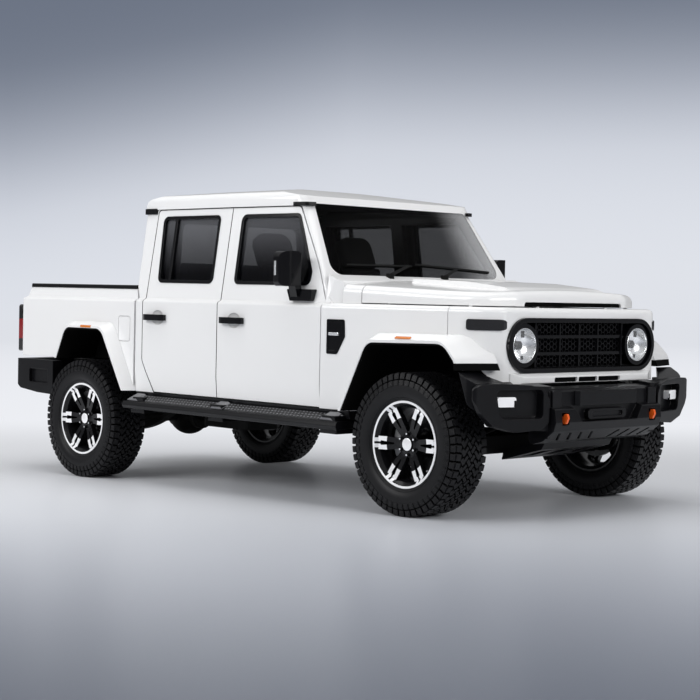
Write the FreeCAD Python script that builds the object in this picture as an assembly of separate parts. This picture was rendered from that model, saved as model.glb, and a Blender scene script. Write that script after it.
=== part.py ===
"""Lifted double-cab off-road 4x4 pickup, in millimetres.

+X is forward, +Y is the vehicle's left and +Z is up. The origin is on the ground, at the
middle of the overall length and width. The sprung body is laid out level and then set nose
down by the rake, as an unladen pickup stands; wheels, axles and knuckles stay upright.
"""

import FreeCAD
import Part
import math
import os

V = FreeCAD.Vector

# Running gear
WHEELBASE = 2970.0
FRONT_OVERHANG = 700.0
REAR_OVERHANG = 930.0
TRACK = 1605.0
TYRE_R = 388.0
TYRE_W = 265.0
TREAD_W = 228.0
RIM_SEAT_R = 218.0
RIM_LIP_R = 236.0
RIM_W = 222.0
KINGPIN_Y = 705.0
SPINDLE_R = 25.0
BRAKE_DISC_R = 150.0
HUB_BORE_CLEARANCE = 0.3
SEAT_CLEARANCE = 0.3
FRONT_AXLE_X = (WHEELBASE + REAR_OVERHANG - FRONT_OVERHANG) / 2
REAR_AXLE_X = FRONT_AXLE_X - WHEELBASE
WHEEL_Y = TRACK / 2
FRONT_X = FRONT_AXLE_X + FRONT_OVERHANG
REAR_X = REAR_AXLE_X - REAR_OVERHANG

# Rake of the sprung body, about a line at bumper height
RAKE_DEG = 1.2
RAKE_PIVOT_Z = 600.0

# Body section: heights and half widths
SILL_Z = 570.0
BODY_SIDE_H = 598.0
GREENHOUSE_H = 567.0
ROOF_RISE = 146.0
BELT_Z = SILL_Z + BODY_SIDE_H
GUTTER_Z = BELT_Z + GREENHOUSE_H
ROOF_Z = GUTTER_Z + ROOF_RISE
SILL_Y = 858.0
SIDE_Y = 868.0
BELT_Y = 840.0
GUTTER_Y = 757.0
GUTTER_TAPER = 0.058
SHOULDER_H = 16.0
A_PILLAR_R_LOW = 16.0
A_PILLAR_R_HIGH = 56.0
DOOR_T = 75.0
DOOR_FRAME_T = 45.0
MOVING_GAP = 6.0
PILLAR_T = 45.0
FLOOR_T = 40.0

# Cab seams, along X: the front ones follow the front axle, the rear ones the rear axle
A_SEAM_X = FRONT_AXLE_X - 712.0
A_BELT_X = A_SEAM_X + 14.0
A_TOP_X = A_SEAM_X - 340.0
CAB_REAR_X = REAR_AXLE_X + 520.0
C_SEAM_X = CAB_REAR_X + 67.0
C_TOP_X = C_SEAM_X + 17.0
C_LOW_X = C_SEAM_X + 118.0
C_KINK_Z = SILL_Z + 202.0
B_SEAM_X = C_SEAM_X + 0.4476 * (A_SEAM_X - C_SEAM_X)
B_TOP_X = B_SEAM_X + 7.0
FIREWALL_X = A_SEAM_X + 52.0
WALL_T = 50.0
WINDOW_LOW_Z = BELT_Z + 98.0
WINDOW_TOP_Z = GUTTER_Z - 45.0

# Windscreen plane: its foot at belt height and its lean from upright
SCREEN_FOOT_X = A_SEAM_X + 50.0
SCREEN_LEAN_DEG = 31.4
SCREEN_BASE_X = A_SEAM_X + 112.0
GLASS_T = 6.0

# Front clip
NOSE_X = FRONT_AXLE_X + 490.0
FENDER_SEAM_X = FRONT_AXLE_X + 195.0
FENDER_SEAM_Y = 800.0
NOSE_CORNER_X = FRONT_AXLE_X + 410.0
NOSE_CORNER_Y = 735.0
NOSE_FACE_Y = 650.0
NOSE_BOTTOM_Z = SILL_Z + 195.0
NOSE_EDGE_R = 30.0
PANEL_T = 40.0
FLANGE_W = 110.0
GRILLE_Z = BELT_Z - 201.0
GRILLE_HALF_Y = 645.0
GRILLE_R = 147.0
HEADLAMP_Y = 500.0
HEADLAMP_R = 95.0

# Hood
HOOD_REAR_X = FRONT_AXLE_X - 452.0
HOOD_REAR_Y = 800.0
HOOD_FRONT_X = FRONT_AXLE_X + 414.0
HOOD_TOP_REAR_Z = BELT_Z + 135.0
HOOD_TOP_FRONT_Z = BELT_Z + 94.0
HOOD_CROWN_R = 9000.0
HOOD_EDGE_R = 48.0
HOOD_T = 30.0

# Wheel arches and flares
FLARE_Y = 945.0
ARCH_TOP_Z = BELT_Z - 200.0
FLARE_TIP_Z = ARCH_TOP_Z - 130.0
LINER_T = 10.0
FRONT_LINER_Y = 458.0
REAR_LINER_Y = 625.0

# Cargo bed
BED_GAP = 18.0
BED_FRONT_X = CAB_REAR_X - BED_GAP
CAB_OVERHANG = 30.0
ROOF_BEND = 0.0007
BED_REAR_X = REAR_AXLE_X - 780.0
BED_BOTTOM_Z = SILL_Z + 180.0
BED_FLOOR_Z = SILL_Z + 230.0
BED_SHOULDER_Z = BELT_Z - 5.0
BED_RAIL_Z = BELT_Z + 56.0
BED_RAIL_Y = 828.0
BED_WALL_T = 90.0
RAIL_CAP_H = 26.0
TAILGATE_T = 55.0
TAILGATE_HALF_Y = 735.0
TAILGATE_HINGE_Z = BED_FLOOR_Z

# Bumpers: heights of the front one's steps, and its pods and recesses
BUMPER_FACE_X = FRONT_X - 18.0
BUMPER_HALF_Y = 470.0
POD_REACH = 22.0
FOG_DEPTH = 48.0
HOOK_Y = 386.0
TOW_BALL_R = 13.0
TOW_PLATE_T = 12.0
REAR_BUMPER_TOP_Z = 724.0

# Ladder frame
RAIL_Y0 = 375.0
RAIL_Y1 = 440.0
RAIL_H = 130.0
RAIL_LOW_Z = 440.0
RAIL_FRONT_Z = 548.0
RAIL_REAR_Z = 590.0
LEAF_Y0 = 466.0
LEAF_Y1 = 526.0
BUMPER_REAR_FACE_X = BED_REAR_X + SEAT_CLEARANCE
BUMPER_FRONT_FACE_X = NOSE_X + 8 - SEAT_CLEARANCE


# Drawing helpers

def on_xz(y):
    return lambda p: V(p.x, y, p.y)


def on_yz(x):
    return lambda p: V(x, p.x, p.y)


def on_xy(z):
    return lambda p: V(p.x, p.y, z)


def outline(points, place):
    """Closed wire through corners (u, v) or (u, v, radius), put in space by place."""
    corners = []
    for i, here in enumerate(points):
        point = V(here[0], here[1], 0)
        radius = here[2] if len(here) > 2 else 0
        if not radius:
            corners.append((point, None, point))
            continue
        before, after = points[i - 1], points[(i + 1) % len(points)]
        back = (V(before[0], before[1], 0) - point).normalize()
        ahead = (V(after[0], after[1], 0) - point).normalize()
        half = back.getAngle(ahead) / 2
        reach = radius / math.tan(half)
        middle = (back + ahead).normalize() * (radius / math.sin(half) - radius)
        corners.append((point + back * reach, point + middle, point + ahead * reach))
    edges = []
    for i, (start, middle, end) in enumerate(corners):
        if middle is not None:
            edges.append(Part.Arc(place(start), place(middle), place(end)).toShape())
        following = corners[(i + 1) % len(corners)][0]
        if (following - end).Length > 1e-6:
            edges.append(Part.LineSegment(place(end), place(following)).toShape())
    return Part.Wire(edges)


def prism_xz(points, y0, y1):
    return Part.Face(outline(points, on_xz(y0))).extrude(V(0, y1 - y0, 0))


def prism_yz(points, x0, x1):
    return Part.Face(outline(points, on_yz(x0))).extrude(V(x1 - x0, 0, 0))


def prism_xy(points, z0, z1):
    return Part.Face(outline(points, on_xy(z0))).extrude(V(0, 0, z1 - z0))


def box(x0, x1, y0, y1, z0, z1):
    return Part.makeBox(x1 - x0, y1 - y0, z1 - z0, V(x0, y0, z0))


def rod(start, end, radius):
    start, end = V(*start), V(*end)
    return Part.makeCylinder(radius, (end - start).Length, start, end - start)


def inset_points(wire_points, place, distance):
    """The same outline, moved inwards by distance."""
    return outline(wire_points, place).makeOffset2D(-distance)


def inset_prism_xz(points, distance, y0, y1):
    wire = inset_points(points, on_xz(y0), distance)
    return Part.Face(wire).extrude(V(0, y1 - y0, 0))


def mirrored(shape):
    return shape.mirror(V(0, 0, 0), V(0, 1, 0))


def fuse(shapes):
    return shapes[0].multiFuse(shapes[1:]).removeSplitter()


def revolve_y(points, centre):
    """Full turn about the Y line through centre, of an outline of (radius, y) corners."""
    wire = outline(points, lambda p: V(centre.x, centre.y + p.y, centre.z + p.x))
    return Part.Face(wire).revolve(centre, V(0, 1, 0), 360)


def gutter_y(x):
    """Half width at the gutter, which narrows ahead of the middle pillar."""
    return GUTTER_Y - GUTTER_TAPER * max(0.0, x - B_SEAM_X)


def side_section(depth_low, depth_high, x=B_SEAM_X, low_z=SILL_Z, high_z=GUTTER_Z):
    """Body side line at a depth under the outer skin, from low_z up to high_z."""
    slope = (BELT_Y - gutter_y(x)) / (GUTTER_Z - BELT_Z)
    top_y = BELT_Y - (high_z - BELT_Z) * slope
    return [
        (SILL_Y - depth_low, low_z),
        (SIDE_Y - depth_low, low_z + 130),
        (SIDE_Y - depth_low, BELT_Z - SHOULDER_H, 18),
        (BELT_Y - depth_high, BELT_Z, 8),
        (top_y - depth_high, high_z),
    ]


def run_along_x(ring, x0, x1):
    """Solid of the outline ring(x) between x0 and x1, straight behind the middle pillar."""
    parts = []
    if x0 < B_SEAM_X:
        parts.append(prism_yz(ring(B_SEAM_X), x0, min(x1, B_SEAM_X)))
    if x1 > B_SEAM_X:
        start = max(x0, B_SEAM_X)
        wires = [outline(ring(x), on_yz(x)) for x in (start, x1)]
        parts.append(Part.makeLoft(wires, True, True))
    return parts[0] if len(parts) == 1 else fuse(parts)


def side_band(depth0_low, depth0_high, depth1_low, depth1_high, x0, x1):
    """Solid between two depths under the left body side, run along X."""

    def ring(x):
        return side_section(depth0_low, depth0_high, x) + side_section(depth1_low, depth1_high, x)[::-1]

    return run_along_x(ring, x0, x1)


# Cab

def front_door_outline(gap=0.0):
    seam = gap / 2
    return [
        (B_SEAM_X + seam, SILL_Z + gap),
        (A_SEAM_X - gap, SILL_Z + gap),
        (A_SEAM_X - gap, BELT_Z - SHOULDER_H / 2),
        (A_BELT_X - gap, BELT_Z + 2, 8),
        (A_SEAM_X - 103 - gap, BELT_Z + 214, 900),
        (A_TOP_X - gap, GUTTER_Z - gap, 30),
        (B_TOP_X + seam, GUTTER_Z - gap),
        (B_SEAM_X + seam, BELT_Z),
    ]


def rear_door_outline(gap=0.0):
    seam = gap / 2
    return [
        (B_SEAM_X - seam, SILL_Z + gap),
        (B_SEAM_X - seam, BELT_Z),
        (B_TOP_X - seam, GUTTER_Z - gap),
        (C_TOP_X + gap, GUTTER_Z - gap, 25),
        (C_SEAM_X + gap, BELT_Z),
        (C_SEAM_X + gap, C_KINK_Z, 60),
        (C_LOW_X + gap, SILL_Z + gap),
    ]


def front_window_outline():
    left, right = B_SEAM_X + 97, A_SEAM_X - 152
    return [(left + 4, WINDOW_LOW_Z, 38), (left, WINDOW_TOP_Z, 42), (right - 182, WINDOW_TOP_Z, 45),
            (right, WINDOW_TOP_Z - 344, 55), (right, WINDOW_LOW_Z, 40)]


def rear_window_outline():
    left, right = C_SEAM_X + 83, B_SEAM_X - 97
    return [(left + 20, WINDOW_LOW_Z + 2, 42), (left, WINDOW_TOP_Z, 42), (right, WINDOW_TOP_Z, 36),
            (right - 1, WINDOW_LOW_Z, 42)]


def door_axis_x(front):
    return (A_SEAM_X if front else B_SEAM_X) - MOVING_GAP / 2


DOOR_AXIS_Y = SIDE_Y + 2


def swing_cylinder(front):
    """Everything a door may fill so that its rear edge clears the pillar as it opens."""
    axis_x = door_axis_x(front)
    rear_x = B_SEAM_X + MOVING_GAP / 2 if front else C_SEAM_X + MOVING_GAP
    return Part.makeCylinder(axis_x - rear_x, GUTTER_Z - SILL_Z, V(axis_x, DOOR_AXIS_Y, SILL_Z))


def door(front):
    """Left door: skin and inner panel in one, with its window cut."""
    points = front_door_outline(MOVING_GAP) if front else rear_door_outline(MOVING_GAP)
    window = front_window_outline() if front else rear_window_outline()
    skin = side_band(0, 0, DOOR_T, DOOR_FRAME_T, CAB_REAR_X, A_SEAM_X)
    panel = skin.common(prism_xz(points, 500, 1000))
    panel = panel.common(swing_cylinder(front))
    panel = panel.cut(prism_xz(window, 500, 1000))
    bottom = SILL_Z + 90 if front else SILL_Z + 230
    x0, x1 = (B_SEAM_X + 125, A_SEAM_X - 128) if front else (C_SEAM_X + 143, B_SEAM_X - 125)
    card = box(x0, x1, SIDE_Y - DOOR_T - 1, SIDE_Y - DOOR_T + 22, bottom, BELT_Z - 48)
    return panel.cut(card)


def door_glass(front):
    window = front_window_outline() if front else rear_window_outline()
    pane = side_band(16, 16, 16 + GLASS_T, 16 + GLASS_T, CAB_REAR_X, A_SEAM_X)
    return pane.common(inset_prism_xz(window, SEAT_CLEARANCE, 500, 1000))


def window_seal(front):
    window = front_window_outline() if front else rear_window_outline()
    ring = inset_prism_xz(window, SEAT_CLEARANCE, 500, 1000)
    ring = ring.cut(inset_prism_xz(window, 20, 500, 1000))
    band = side_band(-4, -4, 16 - SEAT_CLEARANCE, 16 - SEAT_CLEARANCE, CAB_REAR_X, A_SEAM_X)
    seal = ring.common(band)
    if not front:
        bar_x = C_SEAM_X + 208
        bar = box(bar_x, bar_x + 22, 500, 1000, WINDOW_LOW_Z + 4, WINDOW_TOP_Z - 2)
        pane_zone = inset_prism_xz(window, 10, 500, 1000)
        seal = fuse([seal, bar.common(pane_zone).common(band)])
    return seal


def door_handle(x_centre):
    """Pull bar on two feet, over a shallow dish."""
    y = SIDE_Y
    z = BELT_Z - 120
    half = 102.0
    grip = prism_xy([
        (x_centre - half, y + 12), (x_centre - half, y + 28, 10), (x_centre - half + 40, y + 40, 10),
        (x_centre + half - 40, y + 40, 10), (x_centre + half, y + 28, 10), (x_centre + half, y + 12),
    ], z - 19, z + 19)
    feet = [box(x - 26, x + 26, y + SEAT_CLEARANCE, y + 20, z - 18, z + 18)
            for x in (x_centre - half + 28, x_centre + half - 28)]
    return fuse([grip] + feet)


def mirror():
    """Left door mirror: foot on the door skin, neck and squared shell."""
    x, z = A_SEAM_X - 288, BELT_Z
    foot = prism_xz([(x + 14, z + 8), (x + 194, z + 8, 12), (x + 202, z + 76, 8), (x - 14, z + 76, 8)],
                    BELT_Y - 30, BELT_Y + 24)
    foot = foot.cut(side_band(-SEAT_CLEARANCE, -SEAT_CLEARANCE, 200, 200, x - 200, A_SEAM_X))
    neck = prism_yz([(BELT_Y - 6, z + 32), (876, z + 32), (900, z + 117), (852, z + 117)], x + 34, x + 92)
    shell = prism_yz([(844, z + 94, 28), (980, z + 90, 28), (984, z + 294, 40), (848, z + 294, 40)], x, x + 102)
    plan = prism_xy([(x - 8, 842, 10), (x - 8, 986, 16), (x + 36, 986, 26), (x + 102, 944, 32), (x + 102, 842, 18)],
                    z, z + 340)
    hollow = prism_yz([(858, z + 112, 18), (966, z + 110, 18), (970, z + 274, 24), (862, z + 274, 24)], x - 20, x + 10)
    return fuse([foot, neck, shell.common(plan)]).cut(hollow)


def both_sides(half):
    """Closes a left side line with its mirror image."""
    return half + [(-y, *rest) for y, *rest in half[::-1]]


def screen_x(z, offset=0.0):
    """Where the windscreen plane is at height z."""
    return SCREEN_FOOT_X + offset - math.tan(math.radians(SCREEN_LEAN_DEG)) * (z - BELT_Z)


def corner_cutter(z0, r0, z1, r1, out=0.0):
    """Left cutter that rounds the corner of the windscreen plane and the side, out beyond the side."""
    wires = []
    for z, r in ((z0, r0), (z1, r1)):
        x = screen_x(z)
        up = min(z, GUTTER_Z) - BELT_Z
        y = BELT_Y - (BELT_Y - gutter_y(x)) * up / (GUTTER_Z - BELT_Z) + out
        cx, cy = x - r, y - r
        reach = r / math.sqrt(2)
        start, end = V(x, cy, z), V(cx, y, z)
        arc = Part.Arc(start, V(cx + reach, cy + reach, z), end).toShape()
        corners = [end, V(cx, y + 40, z), V(x + 40, y + 40, z), V(x + 40, cy, z), start]
        lines = [Part.LineSegment(a, b).toShape() for a, b in zip(corners, corners[1:])]
        wires.append(Part.Wire([arc] + lines))
    return Part.makeLoft(wires, True, True)


def round_corners(body, cutter):
    return body.cut(cutter).cut(mirrored(cutter))


def cab_outer():
    def ring(x):
        return both_sides(side_section(0, 0, x))

    body = run_along_x(ring, CAB_REAR_X, SCREEN_FOOT_X + 30).cut(ahead_of_screen())
    over = run_along_x(ring, CAB_REAR_X - CAB_OVERHANG, CAB_REAR_X + 5).common(overhang(0))
    body = body.fuse(over)
    body = round_corners(body, corner_cutter(BELT_Z + 60, A_PILLAR_R_LOW, GUTTER_Z + 1, A_PILLAR_R_HIGH))
    return fuse([body, screen_base()])


def overhang(gap):
    """Room that the upper cab takes behind its rear seam, leaning back from the belt."""
    x = CAB_REAR_X - gap
    return prism_xz([
        (x, BELT_Z + 2), (x + 60, BELT_Z + 2), (x + 60, GUTTER_Z), (x - CAB_OVERHANG, GUTTER_Z),
        (x - CAB_OVERHANG, BELT_Z + 74),
    ], -1000, 1000)


def screen_base():
    """Plinth under the windscreen that carries the cowl and narrows towards it."""
    x0, x1 = A_SEAM_X + 4, SCREEN_BASE_X
    plan = prism_xy([(x0, -840), (x1 - 70, -826, 60), (x1, -796), (x1, 796), (x1 - 70, 826, 60), (x0, 840)],
                    BELT_Z, BELT_Z + 170)
    slope = prism_xz([(x0 - 60, BELT_Z), (x1, BELT_Z), (x1, HOOD_TOP_REAR_Z - 12, 30), (x0 - 20, BELT_Z + 168),
                      (x0 - 60, BELT_Z + 168)], -900, 900)
    lean = prism_yz(both_sides([(BELT_Y, BELT_Z - 1), (BELT_Y - 26, BELT_Z + 171)]), x0, x1)
    return plan.common(slope).common(lean)


def ahead_of_screen(offset=0.0):
    """Everything ahead of the windscreen plane moved by offset along X."""
    slope = math.tan(math.radians(SCREEN_LEAN_DEG))
    top_z = ROOF_Z + 60
    foot_x = SCREEN_FOOT_X + offset
    return prism_xz([
        (foot_x, BELT_Z), (foot_x + 800, BELT_Z), (foot_x + 800, top_z),
        (foot_x - slope * (top_z - BELT_Z), top_z),
    ], -1000, 1000)


def on_screen(depth):
    """Places (y, height up the slope) on the windscreen plane, depth behind its face."""
    lean = math.radians(SCREEN_LEAN_DEG)
    up = V(-math.sin(lean), 0, math.cos(lean))
    back = V(-math.cos(lean), 0, -math.sin(lean))
    foot = V(SCREEN_FOOT_X, 0, BELT_Z)
    return lambda p: foot + V(0, p.x, 0) + up * p.y + back * depth


SCREEN_TOP = (GREENHOUSE_H + 15) / math.cos(math.radians(SCREEN_LEAN_DEG))
SCREEN_POINTS = [(-738, 192, 70), (738, 192, 70), (655, SCREEN_TOP, 26), (-655, SCREEN_TOP, 26)]


def screen_prism(inset, depth0, depth1):
    wire = outline(SCREEN_POINTS, on_screen(depth0)).makeOffset2D(-inset)
    return Part.Face(wire).extrude(on_screen(depth1)(V(0, 0, 0)) - on_screen(depth0)(V(0, 0, 0)))


REAR_LIGHT = [(-560, BELT_Z + 94, 60), (560, BELT_Z + 94, 60), (530, GUTTER_Z - 75, 50), (-530, GUTTER_Z - 75, 50)]


def cab_shell():
    """Floor, firewall, back wall, pillars and sills, with door apertures and screen openings."""
    clearance = MOVING_GAP
    depth_low, depth_high = DOOR_T + clearance, DOOR_FRAME_T + clearance
    shell = cab_outer()

    def cavity_ring(x):
        return both_sides(side_section(depth_low + PILLAR_T, depth_high + PILLAR_T, x, SILL_Z + FLOOR_T, GUTTER_Z + 10))

    cavity = run_along_x(cavity_ring, CAB_REAR_X + WALL_T, FIREWALL_X - WALL_T)
    cavity = cavity.cut(ahead_of_screen(-62))
    shell = shell.cut(cavity)
    beyond = box(A_SEAM_X, FIREWALL_X + 100, -1000, 1000, SILL_Z - 10, BELT_Z)
    narrowing = (SIDE_Y - FENDER_SEAM_Y) * (FIREWALL_X - A_SEAM_X) / (FENDER_SEAM_X - A_SEAM_X)
    bay_y = SIDE_Y - FLANGE_W - narrowing - SEAT_CLEARANCE
    inner_bay = box(A_SEAM_X, FIREWALL_X, -bay_y, bay_y, SILL_Z, BELT_Z)
    shell = shell.cut(beyond.cut(inner_bay))
    for front in (True, False):
        points = front_door_outline() if front else rear_door_outline()

        def outside(x):
            side = side_section(depth_low, depth_high, x, SILL_Z - 5, GUTTER_Z + 5)
            return side + [(1000, GUTTER_Z + 5), (1000, SILL_Z - 5)]

        pocket_zone = run_along_x(outside, CAB_REAR_X, A_SEAM_X)
        pocket = prism_xz(points, 500, 1000).common(pocket_zone)
        aperture = inset_prism_xz(points, 48, 500, 1000)
        for cutter in (pocket, aperture):
            shell = shell.cut(cutter).cut(mirrored(cutter))
    shell = fuse([shell] + door_seals())
    shell = shell.cut(screen_prism(-SEAT_CLEARANCE, -5, 120))
    rear_x = CAB_REAR_X - CAB_OVERHANG - 5
    rear_hole = Part.Face(outline(REAR_LIGHT, on_yz(rear_x))).extrude(V(WALL_T + CAB_OVERHANG + 10, 0, 0))
    return shell.cut(rear_hole).removeSplitter()


def door_seals():
    """Rubber seal strips up the rear of each door aperture that the closed doors rest on."""
    strips = []
    for x0 in (B_SEAM_X + 14, C_SEAM_X + 20):
        band = side_band(DOOR_T + SEAT_CLEARANCE, DOOR_FRAME_T + SEAT_CLEARANCE, DOOR_T + MOVING_GAP + 1,
                         DOOR_FRAME_T + MOVING_GAP + 1, x0, x0 + 18)
        strip = band.common(box(x0, x0 + 18, 0, 1000, SILL_Z + 250, GUTTER_Z - 95))
        strips += [strip, mirrored(strip)]
    return strips


def cab_glass():
    """Windscreen and rear light."""
    screen = screen_prism(0, 2, 2 + GLASS_T)
    wire = outline(REAR_LIGHT, on_yz(CAB_REAR_X - 14)).makeOffset2D(-SEAT_CLEARANCE)
    rear = Part.Face(wire).extrude(V(GLASS_T, 0, 0))
    return Part.makeCompound([screen, rear])


def roof_panel():
    """Crowned roof on the gutter line, hollow beneath."""
    x0, x1 = CAB_REAR_X - CAB_OVERHANG - 10, SCREEN_FOOT_X

    def crowned(inset, top):
        def ring(x):
            side = gutter_y(x) + 8 - inset
            return [
                (-side, GUTTER_Z), (side, GUTTER_Z), (side - 6, GUTTER_Z + top, 46 - inset / 2),
                (0, ROOF_Z - inset + 22, 3600), (-side + 6, GUTTER_Z + top, 46 - inset / 2),
            ]

        return run_along_x(ring, x0 + inset * 1.4, x1)

    length = A_SEAM_X - CAB_REAR_X
    turn_r = ROOF_BEND * length ** 2

    def lengthways(inset):
        return prism_xz([
            (x0 + inset, GUTTER_Z), (x0 + inset, ROOF_Z - 88 - inset, 60 - inset),
            (x0 + 0.242 * length, ROOF_Z + 3 - inset, turn_r - 30 * inset),
            (B_SEAM_X - 25, ROOF_Z + 4 - inset, 0.95 * turn_r),
            (A_SEAM_X - 268, ROOF_Z - 95 - inset, 400), (A_SEAM_X - 128, GUTTER_Z),
        ], -1000, 1000)

    outer = crowned(0, ROOF_RISE - 61).common(lengthways(0)).cut(ahead_of_screen())
    outer = round_corners(outer, corner_cutter(GUTTER_Z - 5, A_PILLAR_R_HIGH, ROOF_Z + 20, A_PILLAR_R_HIGH, 8))
    inner = crowned(34, ROOF_RISE - 87).common(lengthways(30)).cut(ahead_of_screen(-70))
    inner = inner.cut(box(x0, x0 + 50, -1000, 1000, GUTTER_Z - 10, ROOF_Z))
    return outer.cut(inner).cut(screen_prism(-SEAT_CLEARANCE, -5, 120))


# Front clip

def clip_plan(inset=0.0, front_inset=None):
    front = inset if front_inset is None else front_inset
    return [
        (A_SEAM_X, -SIDE_Y + inset), (FENDER_SEAM_X, -FENDER_SEAM_Y + inset, 500),
        (NOSE_CORNER_X, -NOSE_CORNER_Y + inset, 120), (NOSE_X - 12 - front, -NOSE_FACE_Y + inset, 60),
        (NOSE_X - front, 0, 9000),
        (NOSE_X - 12 - front, NOSE_FACE_Y - inset, 60), (NOSE_CORNER_X, NOSE_CORNER_Y - inset, 120),
        (FENDER_SEAM_X, FENDER_SEAM_Y - inset, 500), (A_SEAM_X, SIDE_Y - inset),
    ]


def arch_outline(axle_x, front, grow=0.0):
    """Trapezoid arch opening with rounded shoulders."""
    if front:
        return [
            (axle_x - 467 - grow, SILL_Z - 60), (axle_x - 467 - grow, SILL_Z),
            (axle_x - 270 - grow, ARCH_TOP_Z - 7 + grow, 85), (axle_x + 298 + grow, ARCH_TOP_Z + 4 + grow, 110),
            (axle_x + 378 + grow, FLARE_TIP_Z + 44, 60), (axle_x + 386 + grow, FLARE_TIP_Z),
            (axle_x + 386 + grow, SILL_Z - 60),
        ]
    return [
        (axle_x - 320 - grow, SILL_Z - 120), (axle_x - 278 - grow, BED_BOTTOM_Z - 30),
        (axle_x - 160 - grow, ARCH_TOP_Z - 6 + grow, 80), (axle_x + 240 + grow, ARCH_TOP_Z - 6 + grow, 95),
        (axle_x + 478 + grow, SILL_Z), (axle_x + 478 + grow, SILL_Z - 120),
    ]


def clip_volume(inset, top_z):
    return prism_xy(clip_plan(inset), SILL_Z, top_z)


def clip_shell():
    """Both fenders and the nose as one hollow wrap, before its seams are cut."""
    outer = clip_volume(0, BELT_Z)
    edges = [e for e in outer.Edges
             if all(abs(v.Z - BELT_Z) < 1 for v in e.Vertexes)
             and not all(abs(v.X - A_SEAM_X) < 1 for v in e.Vertexes)]
    outer = outer.makeFillet(NOSE_EDGE_R, edges)
    inner = prism_xy(clip_plan(PANEL_T), SILL_Z - 10, BELT_Z - 36)
    flange = prism_xy(clip_plan(FLANGE_W), SILL_Z - 10, BELT_Z + 10)
    shell = outer.cut(inner).cut(flange)
    nose_cut = box(FRONT_AXLE_X + 380, NOSE_X + 50, -1000, 1000, SILL_Z - 10, NOSE_BOTTOM_Z)
    shell = shell.cut(nose_cut)
    x = FRONT_AXLE_X
    arch = prism_xz(arch_outline(x, True), 400, 1000)
    lip = prism_xz([(x + 350, FLARE_TIP_Z), (x + 386, FLARE_TIP_Z), (x + 455, NOSE_BOTTOM_Z - 1),
                    (x + 350, NOSE_BOTTOM_Z - 1)], 400, 1000)
    return shell.cut(arch).cut(mirrored(arch)).cut(lip).cut(mirrored(lip))


def front_fenders(shell):
    left = shell.common(box(A_SEAM_X - 10, FENDER_SEAM_X - 2, 300, 1000, 400, 1300))
    left = fuse([left] + [pad for pad in hood_buffers()
                          if pad.BoundBox.XMax < FENDER_SEAM_X and pad.BoundBox.YMin > 0])
    return Part.makeCompound([left, mirrored(left)])


def nose_panel(shell):
    """Wrap-round nose with the long round-ended grille opening, lamp slots and lower slots."""
    nose = shell.common(box(FENDER_SEAM_X + 2 - SEAT_CLEARANCE, NOSE_X + 50, -1000, 1000, 400, 1300))
    z0, z1 = GRILLE_Z - GRILLE_R, GRILLE_Z + GRILLE_R
    half = GRILLE_HALF_Y
    opening = prism_yz([(-half, z0, GRILLE_R - 1), (half, z0, GRILLE_R - 1),
                        (half, z1, GRILLE_R - 1), (-half, z1, GRILLE_R - 1)], NOSE_X - 120, NOSE_X + 60)
    low = NOSE_BOTTOM_Z
    lip = prism_xz([(NOSE_X - 34, low), (NOSE_X + 30, low, 8), (NOSE_X + 32, low + 36, 10), (NOSE_X + 2, low + 54, 12),
                    (NOSE_X - 34, low + 54)], -620, 620)
    ends = prism_xy([(NOSE_X - 40, -640), (NOSE_X - 14, -640), (NOSE_X + 40, -540, 60), (NOSE_X + 40, 540, 60),
                     (NOSE_X - 14, 640), (NOSE_X - 40, 640)], low - 10, low + 80)
    nose = fuse([nose, lip.common(ends)]).cut(opening)
    nose = fuse([nose] + [pad for pad in hood_buffers() if pad.BoundBox.XMin > FENDER_SEAM_X])
    for centre, half_w in ((-192, 98), (0, 82), (192, 98)):
        slot = prism_yz([(centre - half_w, low + 4, 8), (centre + half_w, low + 4, 8),
                         (centre + half_w, low + 30, 8), (centre - half_w, low + 30, 8)], NOSE_X - 20, NOSE_X + 60)
        nose = nose.cut(slot)
    return nose


def grille():
    """Black surround with deep rim, two bars and lamp bezels."""
    z0, z1 = GRILLE_Z - GRILLE_R, GRILLE_Z + GRILLE_R
    half = GRILLE_HALF_Y
    points = [(-half, z0, GRILLE_R - 1), (half, z0, GRILLE_R - 1),
              (half, z1, GRILLE_R - 1), (-half, z1, GRILLE_R - 1)]

    def stadium(inset, x0, x1):
        wire = outline(points, on_yz(x0)).makeOffset2D(-inset)
        return Part.Face(wire).extrude(V(x1 - x0, 0, 0))

    body = stadium(SEAT_CLEARANCE, NOSE_X - 95, NOSE_X + 6).cut(stadium(24, NOSE_X - 60, NOSE_X + 10))
    bars = [box(NOSE_X - 61, NOSE_X - 32, -400, 400, z - 9, z + 9) for z in (GRILLE_Z - 46, GRILLE_Z + 46)]
    body = fuse([body] + bars)
    for side in (-1, 1):
        centre = V(NOSE_X - 80, side * HEADLAMP_Y, GRILLE_Z)
        bezel = Part.makeCylinder(HEADLAMP_R + 22, 72, centre, V(1, 0, 0))
        body = body.fuse(bezel).cut(Part.makeCylinder(HEADLAMP_R + SEAT_CLEARANCE, 120, V(NOSE_X - 72, centre.y, centre.z), V(1, 0, 0)))
    return body.removeSplitter()


def round_lamp(centre, radius, depth, dome):
    """Round lamp with a domed lens, facing forward."""
    cup = Part.makeCylinder(radius, depth, centre, V(1, 0, 0))
    sphere_r = (radius ** 2 + dome ** 2) / (2 * dome)
    front = centre + V(depth, 0, 0)
    ball = Part.makeSphere(sphere_r, front + V(dome - sphere_r, 0, 0))
    cap = ball.common(Part.makeCylinder(radius, dome + 1, front, V(1, 0, 0)))
    return cup.fuse(cap).removeSplitter()


def headlamps():
    lamps = [round_lamp(V(NOSE_X - 72 + SEAT_CLEARANCE, side * HEADLAMP_Y, GRILLE_Z), HEADLAMP_R, 60, 18)
             for side in (-1, 1)]
    return Part.makeCompound(lamps)


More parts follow.
